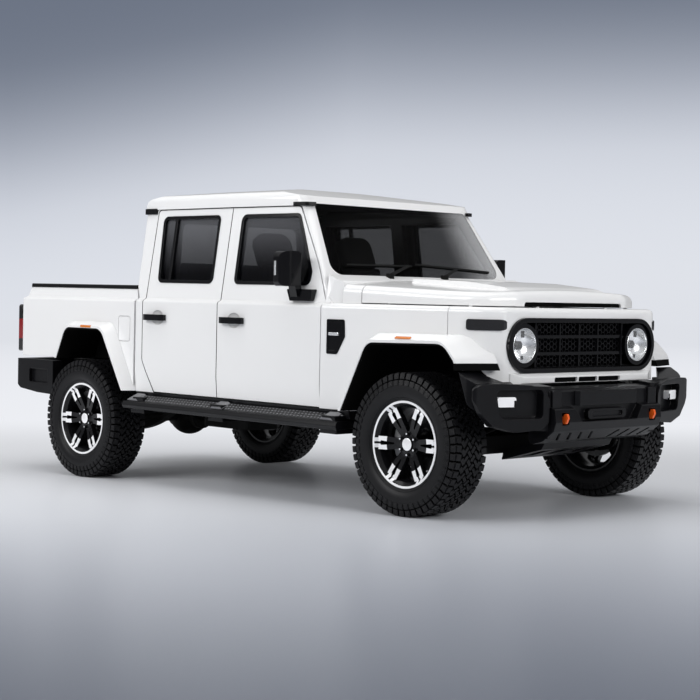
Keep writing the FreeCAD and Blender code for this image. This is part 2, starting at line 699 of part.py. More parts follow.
def hood_form():
    """Crowned hood and cowl in one, with a raised middle and a rounded front."""
    back_x, back_y = SCREEN_BASE_X + SEAT_CLEARANCE, HOOD_REAR_Y + 6
    plan = [
        (back_x, -back_y), (HOOD_REAR_X, -HOOD_REAR_Y), (HOOD_FRONT_X - 314, -742, 400),
        (HOOD_FRONT_X - 84, -668, 160), (HOOD_FRONT_X, -470, 120), (HOOD_FRONT_X + 6, 0, 8000),
        (HOOD_FRONT_X, 470, 120), (HOOD_FRONT_X - 84, 668, 160), (HOOD_FRONT_X - 314, 742, 400),
        (HOOD_REAR_X, HOOD_REAR_Y), (back_x, back_y),
    ]
    body = prism_xy(plan, BELT_Z + SEAT_CLEARANCE, HOOD_TOP_REAR_Z + 120)
    drop = (HOOD_TOP_REAR_Z - HOOD_TOP_FRONT_Z) / (HOOD_FRONT_X - HOOD_REAR_X)
    start = V(SCREEN_FOOT_X - 900, 0, HOOD_TOP_REAR_Z - HOOD_CROWN_R + 44)
    crown = Part.makeCylinder(HOOD_CROWN_R, 2800, start, V(1, 0, -drop))
    body = body.common(crown)
    top_edges = [e for e in body.Edges
                 if e.BoundBox.ZMin > BELT_Z + 20 and e.BoundBox.XMin > back_x + 1]
    sides = [e for e in body.Edges if e.BoundBox.ZMin > BELT_Z + 20
             and e.BoundBox.XMin < back_x + 1 and e.BoundBox.XMax > back_x + 5]
    return body.makeFillet(HOOD_EDGE_R, top_edges + sides)


def hood(form):
    panel = form.common(box(HOOD_REAR_X, HOOD_FRONT_X + 100, -1000, 1000, BELT_Z + MOVING_GAP,
                             HOOD_TOP_REAR_Z + 200))
    inner = form.copy()
    inner.translate(V(-HOOD_T, 0, -HOOD_T))
    inset = box(HOOD_REAR_X + 40, HOOD_FRONT_X - 60, -620, 620, BELT_Z - 100, HOOD_TOP_REAR_Z + 200)
    panel = panel.cut(inner.common(inset))
    scoop = prism_yz([(-430, BELT_Z - 10), (430, BELT_Z - 10), (430, BELT_Z + 30, 18), (-430, BELT_Z + 30, 18)],
                     HOOD_FRONT_X - 40, HOOD_FRONT_X + 40)
    panel = panel.cut(scoop)
    top = HOOD_TOP_REAR_Z
    bulge = prism_xz([(HOOD_REAR_X, top - 33), (HOOD_FRONT_X - 90, top - 58), (HOOD_FRONT_X - 150, top - 27, 200),
                      (HOOD_FRONT_X - 450, top + 3, 600), (HOOD_REAR_X, top + 14)], -420, 420)
    sides = prism_yz([(-430, top - 60), (430, top - 60), (376, top + 40), (-376, top + 40)],
                     HOOD_REAR_X, HOOD_FRONT_X)
    bulge = bulge.common(sides)
    return panel.fuse(bulge.cut(inner.common(inset))).removeSplitter()


def hood_buffers():
    """Rubber buffers on the fenders and nose that the closed hood rests on."""
    top = BELT_Z + MOVING_GAP - SEAT_CLEARANCE
    spots = [(FENDER_SEAM_X - 480, 745), (FENDER_SEAM_X + 60, 684), (NOSE_X - FLANGE_W + 17, 300)]
    pads = [Part.makeCylinder(11, top - BELT_Z + 38, V(x, y, BELT_Z - 38)) for x, y in spots]
    return pads + [mirrored(pad) for pad in pads]


def cowl_panel(form):
    panel = form.common(box(SCREEN_FOOT_X, HOOD_REAR_X - MOVING_GAP, -1000, 1000, BELT_Z, HOOD_TOP_REAR_Z + 200))
    tray = box(SCREEN_BASE_X - 10, HOOD_REAR_X - 40, -640, 640, BELT_Z - 10, HOOD_TOP_REAR_Z - 40)
    return panel.cut(tray)


# Flares and liners

def flare(axle_x, front):
    """Left flare: loft from its root inside the body out to the lip, with the arch cut through."""
    x, low = axle_x, SILL_Z - 120
    if front:
        root_y = 700.0
        lip = [(x - 483, low), (x - 483, SILL_Z), (x - 282, ARCH_TOP_Z + 8, 95), (x + 286, ARCH_TOP_Z + 20, 115),
               (x + 386, FLARE_TIP_Z + 57, 60), (x + 396, FLARE_TIP_Z), (x + 396, low)]
        root = [(x - 575, low), (x - 575, SILL_Z), (x - 364, ARCH_TOP_Z + 92, 95), (x + 322, ARCH_TOP_Z + 64, 150),
                (x + 446, FLARE_TIP_Z + 80, 60), (x + 486, FLARE_TIP_Z), (x + 486, low)]
        body = Part.makeLoft([outline(root, on_xz(root_y)), outline(lip, on_xz(FLARE_Y))], True, True)
    else:
        wide = outline(arch_outline(axle_x, False, 46), on_xz(SIDE_Y - 8))
        narrow = outline(arch_outline(axle_x, False, 13), on_xz(FLARE_Y))
        skirt = Part.makeLoft([wide, narrow], True, True)
        body = skirt.fuse(Part.Face(wide).extrude(V(0, 788 - SIDE_Y, 0)))
    return body.cut(prism_xz(arch_outline(axle_x, front), 300, 1200))


def front_flare(clip_outer):
    """Left front flare, and the black strip that closes its forward tip."""
    body = flare(FRONT_AXLE_X, True)
    body = body.common(box(FRONT_AXLE_X - 600, FRONT_AXLE_X + 500, 500, 1200, SILL_Z + 2, 1200))
    body = body.cut(box(FRONT_AXLE_X + 200, FRONT_AXLE_X + 600, 500, 1200, SILL_Z, FLARE_TIP_Z))
    body = body.cut(clip_outer)
    split_z = FLARE_TIP_Z + 36
    below = box(FRONT_AXLE_X + 200, FRONT_AXLE_X + 600, 500, 1200, SILL_Z, split_z)
    strip = body.common(box(FRONT_AXLE_X + 200, FRONT_AXLE_X + 600, 500, 1200, SILL_Z, split_z - SEAT_CLEARANCE))
    return largest(body.cut(below)), largest(strip)


def rear_flare(bed_outer):
    body = flare(REAR_AXLE_X, False)
    rear = box(REAR_AXLE_X - 700, REAR_AXLE_X, 500, 1200, BED_BOTTOM_Z, 1200)
    ahead = box(REAR_AXLE_X, CAB_REAR_X - SEAT_CLEARANCE, 500, 1200, SILL_Z + 2, 1200)
    body = body.common(rear.fuse(ahead))
    body = body.cut(bed_outer)
    return largest(body)


def largest(shape):
    return max(shape.Solids, key=lambda s: s.Volume)


def arch_liner(axle_x, front):
    """Left wheel house: bent black sheet under the arch, with its inner wall."""
    inner_y = FRONT_LINER_Y if front else REAR_LINER_Y
    outer_y = FLARE_Y - 4
    points = arch_outline(axle_x, front)
    outer = inset_points(points, on_xz(inner_y), SEAT_CLEARANCE)
    inner = inset_points(points, on_xz(inner_y + LINER_T), LINER_T + SEAT_CLEARANCE)
    body = Part.Face(outer).extrude(V(0, outer_y - inner_y, 0))
    body = body.cut(Part.Face(inner).extrude(V(0, outer_y, 0)))
    if front:
        body = body.cut(box(axle_x, axle_x + 900, 0, 1200, 300, FLARE_TIP_Z))
        return body.cut(box(axle_x - 600, axle_x + 900, 0, 1200, 300, SILL_Z + 4))
    body = body.cut(box(axle_x - 600, axle_x, 0, 1200, 300, BED_BOTTOM_Z))
    return body.cut(box(axle_x - 600, axle_x + 900, 0, 1200, 300, SILL_Z + 4))


# Cargo bed

def bed_side_points(depth=0.0):
    return [
        (SIDE_Y - depth, SILL_Z), (SIDE_Y - depth, BED_SHOULDER_Z - SHOULDER_H, 18),
        (BELT_Y - depth, BED_SHOULDER_Z, 8), (BED_RAIL_Y - depth, BED_RAIL_Z),
    ]


def bed_side_solid():
    """Left outer wall, still whole."""
    inner_y = SIDE_Y - BED_WALL_T
    return prism_yz(bed_side_points() + [(inner_y, BED_RAIL_Z), (inner_y, SILL_Z)], BED_REAR_X, BED_FRONT_X)


def cargo_bed():
    """Floor, front wall, side walls with arches cut, and wheel boxes."""
    side = bed_side_solid()
    side = side.cut(box(BED_REAR_X - 10, REAR_AXLE_X, 500, 1000, SILL_Z - 10, BED_BOTTOM_Z))
    rear_slope = prism_xz([
        (BED_REAR_X - 10, BED_SHOULDER_Z - 20), (BED_REAR_X, BED_SHOULDER_Z - 20), (BED_REAR_X + 24, BED_SHOULDER_Z + 2),
        (BED_REAR_X + 46, BED_RAIL_Z + 1), (BED_REAR_X - 10, BED_RAIL_Z + 1)], 500, 1000)
    side = side.cut(rear_slope)
    arch = prism_xz(arch_outline(REAR_AXLE_X, False), 400, 1000)
    side = side.cut(arch)
    inner_y = SIDE_Y - BED_WALL_T
    wheel_box = inset_prism_xz(arch_outline(REAR_AXLE_X, False, 16), 0.0, REAR_LINER_Y - 16, inner_y + 1)
    wheel_box = wheel_box.common(box(BED_REAR_X + 80, BED_FRONT_X, 0, 1000, BED_FLOOR_Z - 30, 1200))
    hollow = prism_xz(arch_outline(REAR_AXLE_X, False), REAR_LINER_Y, 1000)
    floor = box(BED_REAR_X + TAILGATE_T + MOVING_GAP, BED_FRONT_X, -inner_y - 1, inner_y + 1,
                BED_FLOOR_Z - 30, BED_FLOOR_Z)
    front_wall = box(BED_FRONT_X - 45, BED_FRONT_X, -inner_y - 1, inner_y + 1, SILL_Z + 150, BED_RAIL_Z)
    ribs = [box(BED_REAR_X + TAILGATE_T + 20, BED_FRONT_X - 60, y - 16, y + 16, BED_FLOOR_Z - 1, BED_FLOOR_Z + 8)
            for y in range(-500, 501, 125)]
    pins = [tailgate_pin(side_sign) for side_sign in (-1, 1)]
    bed = fuse(pins + [side, mirrored(side), wheel_box, mirrored(wheel_box), floor, front_wall] + ribs)
    bed = bed.cut(overhang(BED_GAP))
    return bed.cut(hollow).cut(mirrored(hollow)).removeSplitter()


def bed_rail_caps():
    cap = prism_yz([
        (BED_RAIL_Y + 4, BED_RAIL_Z + SEAT_CLEARANCE), (BED_RAIL_Y + 2, BED_RAIL_Z + RAIL_CAP_H, 8),
        (SIDE_Y - BED_WALL_T - 8, BED_RAIL_Z + RAIL_CAP_H, 8), (SIDE_Y - BED_WALL_T - 8, BED_RAIL_Z + SEAT_CLEARANCE),
    ], BED_REAR_X + 48, BED_FRONT_X)
    front = box(BED_FRONT_X - 45, BED_FRONT_X, -(SIDE_Y - BED_WALL_T), SIDE_Y - BED_WALL_T,
                BED_RAIL_Z + SEAT_CLEARANCE, BED_RAIL_Z + RAIL_CAP_H)
    return fuse([cap, mirrored(cap), front]).cut(overhang(BED_GAP))


def tailgate_pin(side, clearance=0.0):
    """Hinge pin between the bed side and the lower corner of the gate."""
    x, z = BED_REAR_X + TAILGATE_T / 2, TAILGATE_HINGE_Z
    inner, outer = TAILGATE_HALF_Y - 22 - clearance, SIDE_Y - BED_WALL_T + 5
    return rod((x, side * inner, z), (x, side * outer, z), 9 + clearance)


def tailgate():
    round_r = TAILGATE_T / 2 - 0.5
    points = [
        (BED_REAR_X, TAILGATE_HINGE_Z - TAILGATE_T / 2, round_r),
        (BED_REAR_X + TAILGATE_T, TAILGATE_HINGE_Z - TAILGATE_T / 2, round_r),
        (BED_REAR_X + TAILGATE_T, BED_RAIL_Z - 2, 10), (BED_REAR_X + 22, BED_RAIL_Z - 2, 16),
        (BED_REAR_X, BED_RAIL_Z - 60, 30),
    ]
    gate = prism_xz(points, -TAILGATE_HALF_Y, TAILGATE_HALF_Y)
    for side in (-1, 1):
        gate = gate.cut(tailgate_pin(side, SEAT_CLEARANCE))
    press = box(BED_REAR_X - 1, BED_REAR_X + 9, -520, 520, BED_FLOOR_Z + 80, BED_FLOOR_Z + 290)
    cup = box(BED_REAR_X - 1, BED_REAR_X + 22, -110, 110, BED_FLOOR_Z + 305, BED_FLOOR_Z + 365)
    return gate.cut(press).cut(cup)


def tail_lamps():
    low, high = BED_FLOOR_Z - 25, BED_FLOOR_Z + 302
    near, far = TAILGATE_HALF_Y + 29, SIDE_Y - 14
    lamp = prism_yz([(near, low, 14), (far, low, 14), (far, high, 20), (near, high, 20)],
                    BED_REAR_X - 74, BED_REAR_X - SEAT_CLEARANCE)
    return Part.makeCompound([lamp, mirrored(lamp)])


# Bumpers, steps and hooks

POD_OUTLINE = [
    (484, 562, 30), (482, 690, 40), (520, 745, 30), (600, 765, 20), (780, 775, 60), (905, 772, 30), (946, 750, 20),
    (946, 690, 30), (905, 620, 60), (829, 553, 40), (690, 519, 60), (540, 530, 40),
]


def wing_slab(near, far):
    """Slanted layer along the bumper's wing, between two distances behind its face (less is further out)."""
    inner, outer = (BUMPER_FACE_X - 32, 470), (BUMPER_FACE_X - 162, 950)
    return prism_xy([(inner[0] - far, inner[1]), (inner[0] - near, inner[1]),
                     (outer[0] - near, outer[1]), (outer[0] - far, outer[1])], 400, 900)


def front_bumper():
    """Stepped centre beam with winch and hook recesses, a slotted skid, and wings with raised lamp pods."""
    face_x, half, x = BUMPER_FACE_X, BUMPER_HALF_Y, FRONT_AXLE_X
    centre = prism_xz([
        (NOSE_X + 8, 744), (NOSE_X + 42, 750, 10), (face_x - 74, 742, 12), (face_x - 50, 728, 8),
        (face_x - 47, 648), (face_x - 8, 638, 10), (face_x, 566, 10), (face_x - 16, 520, 8),
        (face_x - 90, 462, 30), (face_x - 170, 440, 16), (NOSE_X + 8, 470),
    ], -half, half)
    plate = prism_xy([(face_x - 60, -268), (face_x - 38, -268), (face_x - 16, -250), (face_x - 16, 250),
                      (face_x - 38, 268), (face_x - 60, 268)], 652, 730)
    pads = [box(face_x - 60, face_x - 34, side * 423 - 37, side * 423 + 37, 634, 734) for side in (-1, 1)]
    wing = prism_xy([
        (NOSE_X + 8, half - 30), (face_x - 60, half - 30), (face_x - 34 - POD_REACH, half, 20),
        (face_x - 160 - POD_REACH, 915, 50), (face_x - 220, 938, 30), (x + 400, 938), (x + 400, 800),
        (x + 460, 740), (NOSE_X + 8, 690),
    ], 480, 828)
    top = prism_xz([(x + 390, 829), (x + 411, 827), (x + 516, 768), (face_x + 50, 744), (face_x + 50, 900),
                    (x + 390, 900)], 400, 1000)
    under = prism_yz([(400, 400), (1000, 400), (1000, 650), (938, 640), (829, 566), (690, 532), (470, 520),
                      (470, 470), (400, 470)], NOSE_X, face_x + 100)
    band = prism_xz([(x + 380, 835), (x + 411, 825), (x + 471, 660, 60), (x + 555, 593, 60), (x + 660, 552),
                     (x + 700, 400), (x + 380, 400)], 560, 1000)
    wing = wing.cut(top).cut(under).cut(band)
    pod = prism_yz(POD_OUTLINE, NOSE_X, face_x + 50)
    pod_plan = prism_xy([
        (face_x - 120, half + 2), (face_x - 32, half + 2), (face_x - 148, 930, 36), (face_x - 166, 948),
        (face_x - 172, 948), (face_x - 172, 800),
    ], 400, 900)
    pod = pod.common(pod_plan)
    fog = prism_yz([(522, 590, 24), (790, 590, 44), (815, 742, 24), (522, 742, 24)], NOSE_X, face_x + 50)
    wing = fuse([wing, pod]).cut(fog.common(wing_slab(-200, FOG_DEPTH)))
    body = fuse([centre, plate, wing, mirrored(wing)] + pads)
    winch = prism_yz([(-245, 566, 12), (245, 566, 12), (300, 640), (300, 650), (-300, 650), (-300, 640)],
                     face_x - 52, face_x + 40)
    cover = prism_yz([(-170, 574, 26), (170, 574, 26), (170, 630, 26), (-170, 630, 26)], face_x - 60, face_x - 22)
    ring = prism_yz([(-136, 588, 13), (136, 588, 13), (136, 616, 13), (-136, 616, 13)], face_x - 34, face_x)
    body = fuse([body.cut(winch), cover.cut(ring)])
    for side in (-1, 1):
        y = side * HOOK_Y
        body = body.cut(prism_yz([(y - 29, 552, 6), (y + 29, 552, 6), (y + 29, 618, 6), (y - 29, 618, 6)],
                                 face_x - 90, face_x + 40))
        for k in range(4):
            y0 = side * (70 + 92 * k)
            slot = prism_yz([(y0, 466), (y0 + side * 22, 466), (y0 + side * 62, 508), (y0 + side * 40, 508)],
                            face_x - 120, face_x + 20)
            body = body.cut(slot)
    body = body.cut(prism_xy(clip_plan(-1.0), NOSE_BOTTOM_Z - 2, 900))
    body = body.cut(box(NOSE_X - 40, NOSE_X + 42, -630, 630, NOSE_BOTTOM_Z - 2, 900))
    return largest(body.removeSplitter())


def skid_plate():
    """Guard sloping back and down from the bumper towards the front axle."""
    x, z, end = FRONT_AXLE_X, TYRE_R, BUMPER_FRONT_FACE_X
    profile = [(x + 170, z - 66), (x + 450, z + 12), (end - 8, z + 84), (end, z + 84), (end, z + 98),
               (end - 20, z + 98), (x + 438, z + 26), (x + 170, z - 52)]
    plate = prism_xz(profile, -300, 300)
    side = [(x + 170, z - 66), (x + 450, z + 12), (end - 40, z + 74), (end - 60, z + 84), (x + 430, z + 62),
            (x + 180, z - 10)]
    plate = fuse([plate] + [prism_xz(side, y - 7, y + 7) for y in (-293, 293)])
    for y in (-180, 0, 180):
        plate = plate.cut(prism_xy([(x + 240, y - 50, 14), (x + 400, y - 50, 14), (x + 400, y + 50, 14),
                                    (x + 240, y + 50, 14)], 300, 500))
    return plate


def tow_hooks():
    """Two bent recovery hooks standing in the bumper's slots."""
    hooks = []
    x = BUMPER_FACE_X
    for side in (-1, 1):
        y = side * HOOK_Y
        hook = prism_xz([
            (x - 90 + SEAT_CLEARANCE, 572), (x - 20, 572, 8), (x - 14, 558, 4), (x + 4, 560, 6), (x + 18, 590, 10),
            (x + 10, 612, 5), (x - 8, 612, 5), (x - 12, 596, 6), (x - 90 + SEAT_CLEARANCE, 596),
        ], y - 8, y + 8)
        hooks.append(hook)
    return Part.makeCompound(hooks)


def fog_lamps():
    """Square lamps on the floor of the pod recesses."""
    lamp = prism_yz([(680, 652, 12), (792, 652, 12), (792, 704, 12), (680, 704, 12)], NOSE_X, FRONT_X + 50)
    lamp = lamp.common(wing_slab(10, FOG_DEPTH - SEAT_CLEARANCE))
    return Part.makeCompound([lamp, mirrored(lamp)])


def rear_bumper():
    """Step bumper that wraps to the wheel arches, with side pockets and a tow plate."""
    x, mount_x, ahead_x = REAR_X, BED_REAR_X, REAR_AXLE_X - 415
    top = REAR_BUMPER_TOP_Z
    plan = [
        (x, -520, 60), (x, 520, 60), (x + 62, 862, 40), (ahead_x, SIDE_Y - 4), (ahead_x, 790),
        (mount_x, 790), (mount_x, -790), (ahead_x, -790), (ahead_x, -SIDE_Y + 4), (x + 62, -862, 40),
    ]
    body = prism_xy(plan, top - 257, top)
    slope = prism_xz([(x - 10, top - 320), (x - 10, top - 150), (x + 60, top - 168), (x + 120, top - 205),
                      (x + 330, top - 226), (ahead_x + 5, top - 232), (ahead_x + 5, top - 320)], -1000, 1000)
    pocket = prism_xz([(x + 227, top - 157, 10), (x + 451, top - 157, 10), (x + 451, top - 64, 10),
                       (x + 227, top - 64, 10)], 838, 900)
    body = body.cut(slope).cut(pocket).cut(mirrored(pocket))
    step_z = top - 77
    step = prism_xy([(x - 1, -330, 20), (x + 60, -290), (x + 60, 290), (x - 1, 330, 20)], step_z, top + 3)
    under = box(x + 12, x + 100, -200, 200, top - 300, step_z - TOW_PLATE_T)
    ball_hole = rod((x + 34, 0, step_z - 60), (x + 34, 0, step_z + 10), TOW_BALL_R)
    return body.cut(step).cut(under).cut(ball_hole)


def step_stations():
    """Where the step brackets stand along the sill."""
    rear, front = CAB_REAR_X + 130, A_SEAM_X + 152
    return (rear, rear + 0.44 * (front - rear), front)


def side_step():
    """Left rocker trim, step board and its brackets, fused."""
    x0, x1 = CAB_REAR_X - 8, A_SEAM_X + 232
    rocker = prism_yz([(792, 520), (852, 520, 10), (860, SILL_Z - SEAT_CLEARANCE), (792, SILL_Z - SEAT_CLEARANCE)],
                      x0 + 20, x1)
    board = prism_yz([(812, 470, 8), (950, 462, 12), (962, 486, 10), (950, 512, 10), (812, 506, 8)], x0, x1)
    parts = [rocker, board]
    for x in step_stations():
        parts.append(prism_xz([(x - 70, 440), (x + 70, 440), (x + 50, 540), (x - 50, 540)], 770, 940))
        parts.append(box(x - 30, x + 30, RAIL_Y1 + SEAT_CLEARANCE, 800, 450, 482))
    return fuse(parts)


def on_flank(points, proud=5.0):
    """Thin plate of an (x, z) outline, lying on the outside of the left fender or nose."""
    plate = prism_xz(points, 500, 1000)
    return plate.common(clip_volume(-proud, BELT_Z - 30)).cut(clip_volume(-SEAT_CLEARANCE, BELT_Z))


def fender_vents():
    x = A_SEAM_X + 49
    z = BELT_Z - 90
    vent = on_flank([(x, z, 8), (x + 132, z, 12), (x + 136, z - 97, 12), (x + 78, z - 196, 16), (x, z - 196, 8)])
    recess = on_flank([(x + 16, z - 16, 5), (x + 112, z - 16, 5), (x + 114, z - 92, 8), (x + 66, z - 176, 8),
                       (x + 16, z - 176, 5)], 9)
    vent = vent.cut(recess.cut(clip_volume(-2.5, BELT_Z)))
    return Part.makeCompound([vent, mirrored(vent)])


def side_lamps():
    """Slim lamps on the corners of the nose."""
    x, z = FRONT_AXLE_X, BELT_Z - 93
    lamp = on_flank([(x + 305, z - 29, 14), (x + 477, z - 29, 14), (x + 477, z + 29, 14), (x + 305, z + 29, 14)], 8)
    lamp = largest(lamp)
    return Part.makeCompound([lamp, mirrored(lamp)])


def gutter_caps():
    """Short black caps on the roof edge over the pillars."""
    x, y = CAB_REAR_X - CAB_OVERHANG, GUTTER_Y
    rear = prism_xy([(x - 12, y - 4), (x + 105, y - 4), (x + 105, y + 16, 5), (x - 12, y + 18, 5)],
                    GUTTER_Z - 29, GUTTER_Z + 7)
    x, y = A_TOP_X, gutter_y(A_TOP_X)
    front = prism_xy([(x - 56, y - 4), (x + 12, y - 30), (x + 52, y - 68), (x + 70, y - 52, 5), (x + 50, y + 4, 44),
                      (x - 6, y + 17, 40), (x - 56, y + 19, 5)], GUTTER_Z, GUTTER_Z + 21)
    return [front, rear]


FUEL_FLAP = [(REAR_AXLE_X + 336, 889, 16), (REAR_AXLE_X + 458, 889, 16), (REAR_AXLE_X + 458, 1046, 16),
             (REAR_AXLE_X + 336, 1046, 16)]


def fuel_flap(clearance=0.0):
    """Filler flap let into the right bed side, and at a clearance the pocket for it."""
    wire = outline(FUEL_FLAP, on_xz(-SIDE_Y)).makeOffset2D(clearance) if clearance else outline(FUEL_FLAP, on_xz(-SIDE_Y))
    depth = 8.0 if clearance else 8.0 - SEAT_CLEARANCE
    return Part.Face(wire).extrude(V(0, depth, 0))


def flat_bar(start, end, width, rise):
    """Straight bar of a width from start to end, raised by the vector rise."""
    along = (end - start).normalize()
    half = along.cross(rise).normalize() * (width / 2)
    corners = [start - half, end - half, end + half, start + half]
    return Part.Face(Part.makePolygon(corners + corners[:1])).extrude(rise)


def wipers():
    """Two arms with blades, parked low on the windscreen."""
    parts = []
    lean = math.radians(SCREEN_LEAN_DEG)
    out = V(math.cos(lean), 0, math.sin(lean))
    plinth_x, plinth_z = SCREEN_BASE_X - 86, BELT_Z + 140
    for foot_y, blade0, blade1, elbow in (
            (-342, (-612, 252), (-60, 257), (-90, 257)), (130, (-28, 271), (630, 233), (340, 250))):
        foot = V(plinth_x, foot_y, plinth_z)
        knee = on_screen(-14)(V(elbow[0], elbow[1], 0))
        blade = flat_bar(on_screen(-3)(V(blade0[0], blade0[1], 0)), on_screen(-3)(V(blade1[0], blade1[1], 0)), 12, out * 16)
        arm = flat_bar(foot + V(0, 0, 28), knee, 17, out * 9)
        post = box(plinth_x - 17, plinth_x + 17, foot_y - 17, foot_y + 17, plinth_z - 30, plinth_z + 38)
        parts.append(fuse([post, arm, blade]))
    return parts


# Chassis

def frame_rail():
    """Left box rail with its kick-ups over both axles."""
    front_end, rear_end = FRONT_AXLE_X - 340, REAR_AXLE_X + 360
    lower = [
        (BUMPER_REAR_FACE_X, RAIL_REAR_Z), (rear_end, RAIL_REAR_Z), (rear_end + 190, RAIL_LOW_Z),
        (front_end - 250, RAIL_LOW_Z), (front_end, RAIL_FRONT_Z), (BUMPER_FRONT_FACE_X, RAIL_FRONT_Z),
    ]
    upper = [(x, z + RAIL_H) for x, z in lower]
    upper[1] = (rear_end + 80, RAIL_REAR_Z + RAIL_H)
    upper[2] = (rear_end + 148, RAIL_LOW_Z + RAIL_H)
    upper[3] = (front_end - 310, RAIL_LOW_Z + RAIL_H)
    upper[4] = (front_end - 60, RAIL_FRONT_Z + RAIL_H)
    return prism_xz(lower + upper[::-1], RAIL_Y0, RAIL_Y1)


def frame_rails():
    rail = frame_rail()
    hangers = [box(x - 28, x + 28, RAIL_Y1 - 20, LEAF_Y0 - SEAT_CLEARANCE, z0, z1)
               for x, z0, z1 in ((REAR_AXLE_X - 590, 440, 640), (REAR_AXLE_X + 550, 460, 540))]
    rail = fuse([rail] + hangers)
    return Part.makeCompound([rail, mirrored(rail)])


def crossmembers():
    """Cross tubes between the rails, clear of each other."""
    inner = RAIL_Y0 - SEAT_CLEARANCE
    rear, front, mid = REAR_AXLE_X, FRONT_AXLE_X, (FRONT_AXLE_X + REAR_AXLE_X) / 2
    bars = []
    for x, z, width, height in ((rear - 710, 610, 70, 90), (rear - 270, 630, 70, 70), (rear + 440, 520, 80, 80),
                                (mid - 415, 460, 80, 60), (mid + 445, 452, 90, 50), (front - 420, 560, 90, 60),
                                (front + 400, 560, 80, 100)):
        bars.append(box(x - width / 2, x + width / 2, -inner, inner, z, z + height))
    return Part.makeCompound(bars)


def transfer_case():
    """Gearbox tail and transfer case hung under the middle crossmember."""
    x = (FRONT_AXLE_X + REAR_AXLE_X) / 2 + 445
    low = 452 - SEAT_CLEARANCE
    body = prism_xz([(x - 260, low, 20), (x - 300, 400, 30), (x - 200, 350, 30), (x + 60, 350, 30), (x + 120, 400, 30),
                     (x + 110, low, 20)], -60, 210)
    return body


def shaft(start, end):
    """Propeller shaft: tube with a larger joint at each end."""
    a, b = V(*start), V(*end)
    along = (b - a).normalize()
    return fuse([rod(start, end, 30), Part.makeCylinder(44, 60, a, along), Part.makeCylinder(44, 60, b - along * 60, along)])


def exhaust():
    """Muffler and tail pipe on the left of the propeller shaft, hung from the rear crossmember."""
    y, z = 275.0, 440.0
    x0, x1 = REAR_AXLE_X + 470, (FRONT_AXLE_X + REAR_AXLE_X) / 2 - 475
    muffler = rod((x0, y, z), (x1, y, z), 66)
    tail = rod((REAR_AXLE_X - 700, y, z + 24), (x0 + 10, y, z + 24), 26)
    front = rod((x1 - 10, y, z - 10), (x1 + 220, y, z - 10), 26)
    strap = box(x0 - 52, x0 - 8, y - 15, y + 15, z + 40, 520 - SEAT_CLEARANCE)
    return fuse([muffler, tail, front, strap])


def wheel_centre(front, side=1):
    return V(FRONT_AXLE_X if front else REAR_AXLE_X, side * WHEEL_Y, TYRE_R)


def tyre_form():
    """Tubeless tyre at the origin: rounded sidewalls, and blocks notched into both shoulders."""
    half, tread = TYRE_W / 2, TREAD_W / 2
    bead = RIM_SEAT_R + SEAT_CLEARANCE
    seat = RIM_W / 2 - 14 - SEAT_CLEARANCE
    points = [
        (bead, -seat), (RIM_LIP_R + 6, -seat - 2, 6), (300, -half, 60), (TYRE_R - 28, -tread - 6, 20),
        (TYRE_R, -tread + 6, 12), (TYRE_R, tread - 6, 12),
        (TYRE_R - 28, tread + 6, 20), (300, half, 60), (RIM_LIP_R + 6, seat + 2, 6), (bead, seat),
        (bead + 14, seat - 20, 5), (TYRE_R - 24, half - 32, 40), (TYRE_R - 24, -half + 32, 40),
        (bead + 14, -seat + 20, 5),
    ]
    tyre = revolve_y(points, V(0, 0, 0))
    notches = []
    for i in range(LUGS):
        for side in (-1, 1):
            notch = prism_yz([(side * (tread - 30), TYRE_R + 4), (side * (tread - 30), TYRE_R - 9),
                              (side * (tread + 2), TYRE_R - 12), (side * (tread + 9), TYRE_R - 42),
                              (side * (half + 12), TYRE_R - 42), (side * (half + 12), TYRE_R + 4)], -8, 8)
            notch.rotate(V(0, 0, 0), V(0, 1, 0), (i + (0.25 if side > 0 else 0.75)) * 360 / LUGS)
            notches.append(notch)
    return tyre.cut(notches)


LUGS = 26
SPOKE_PAIRS = 6


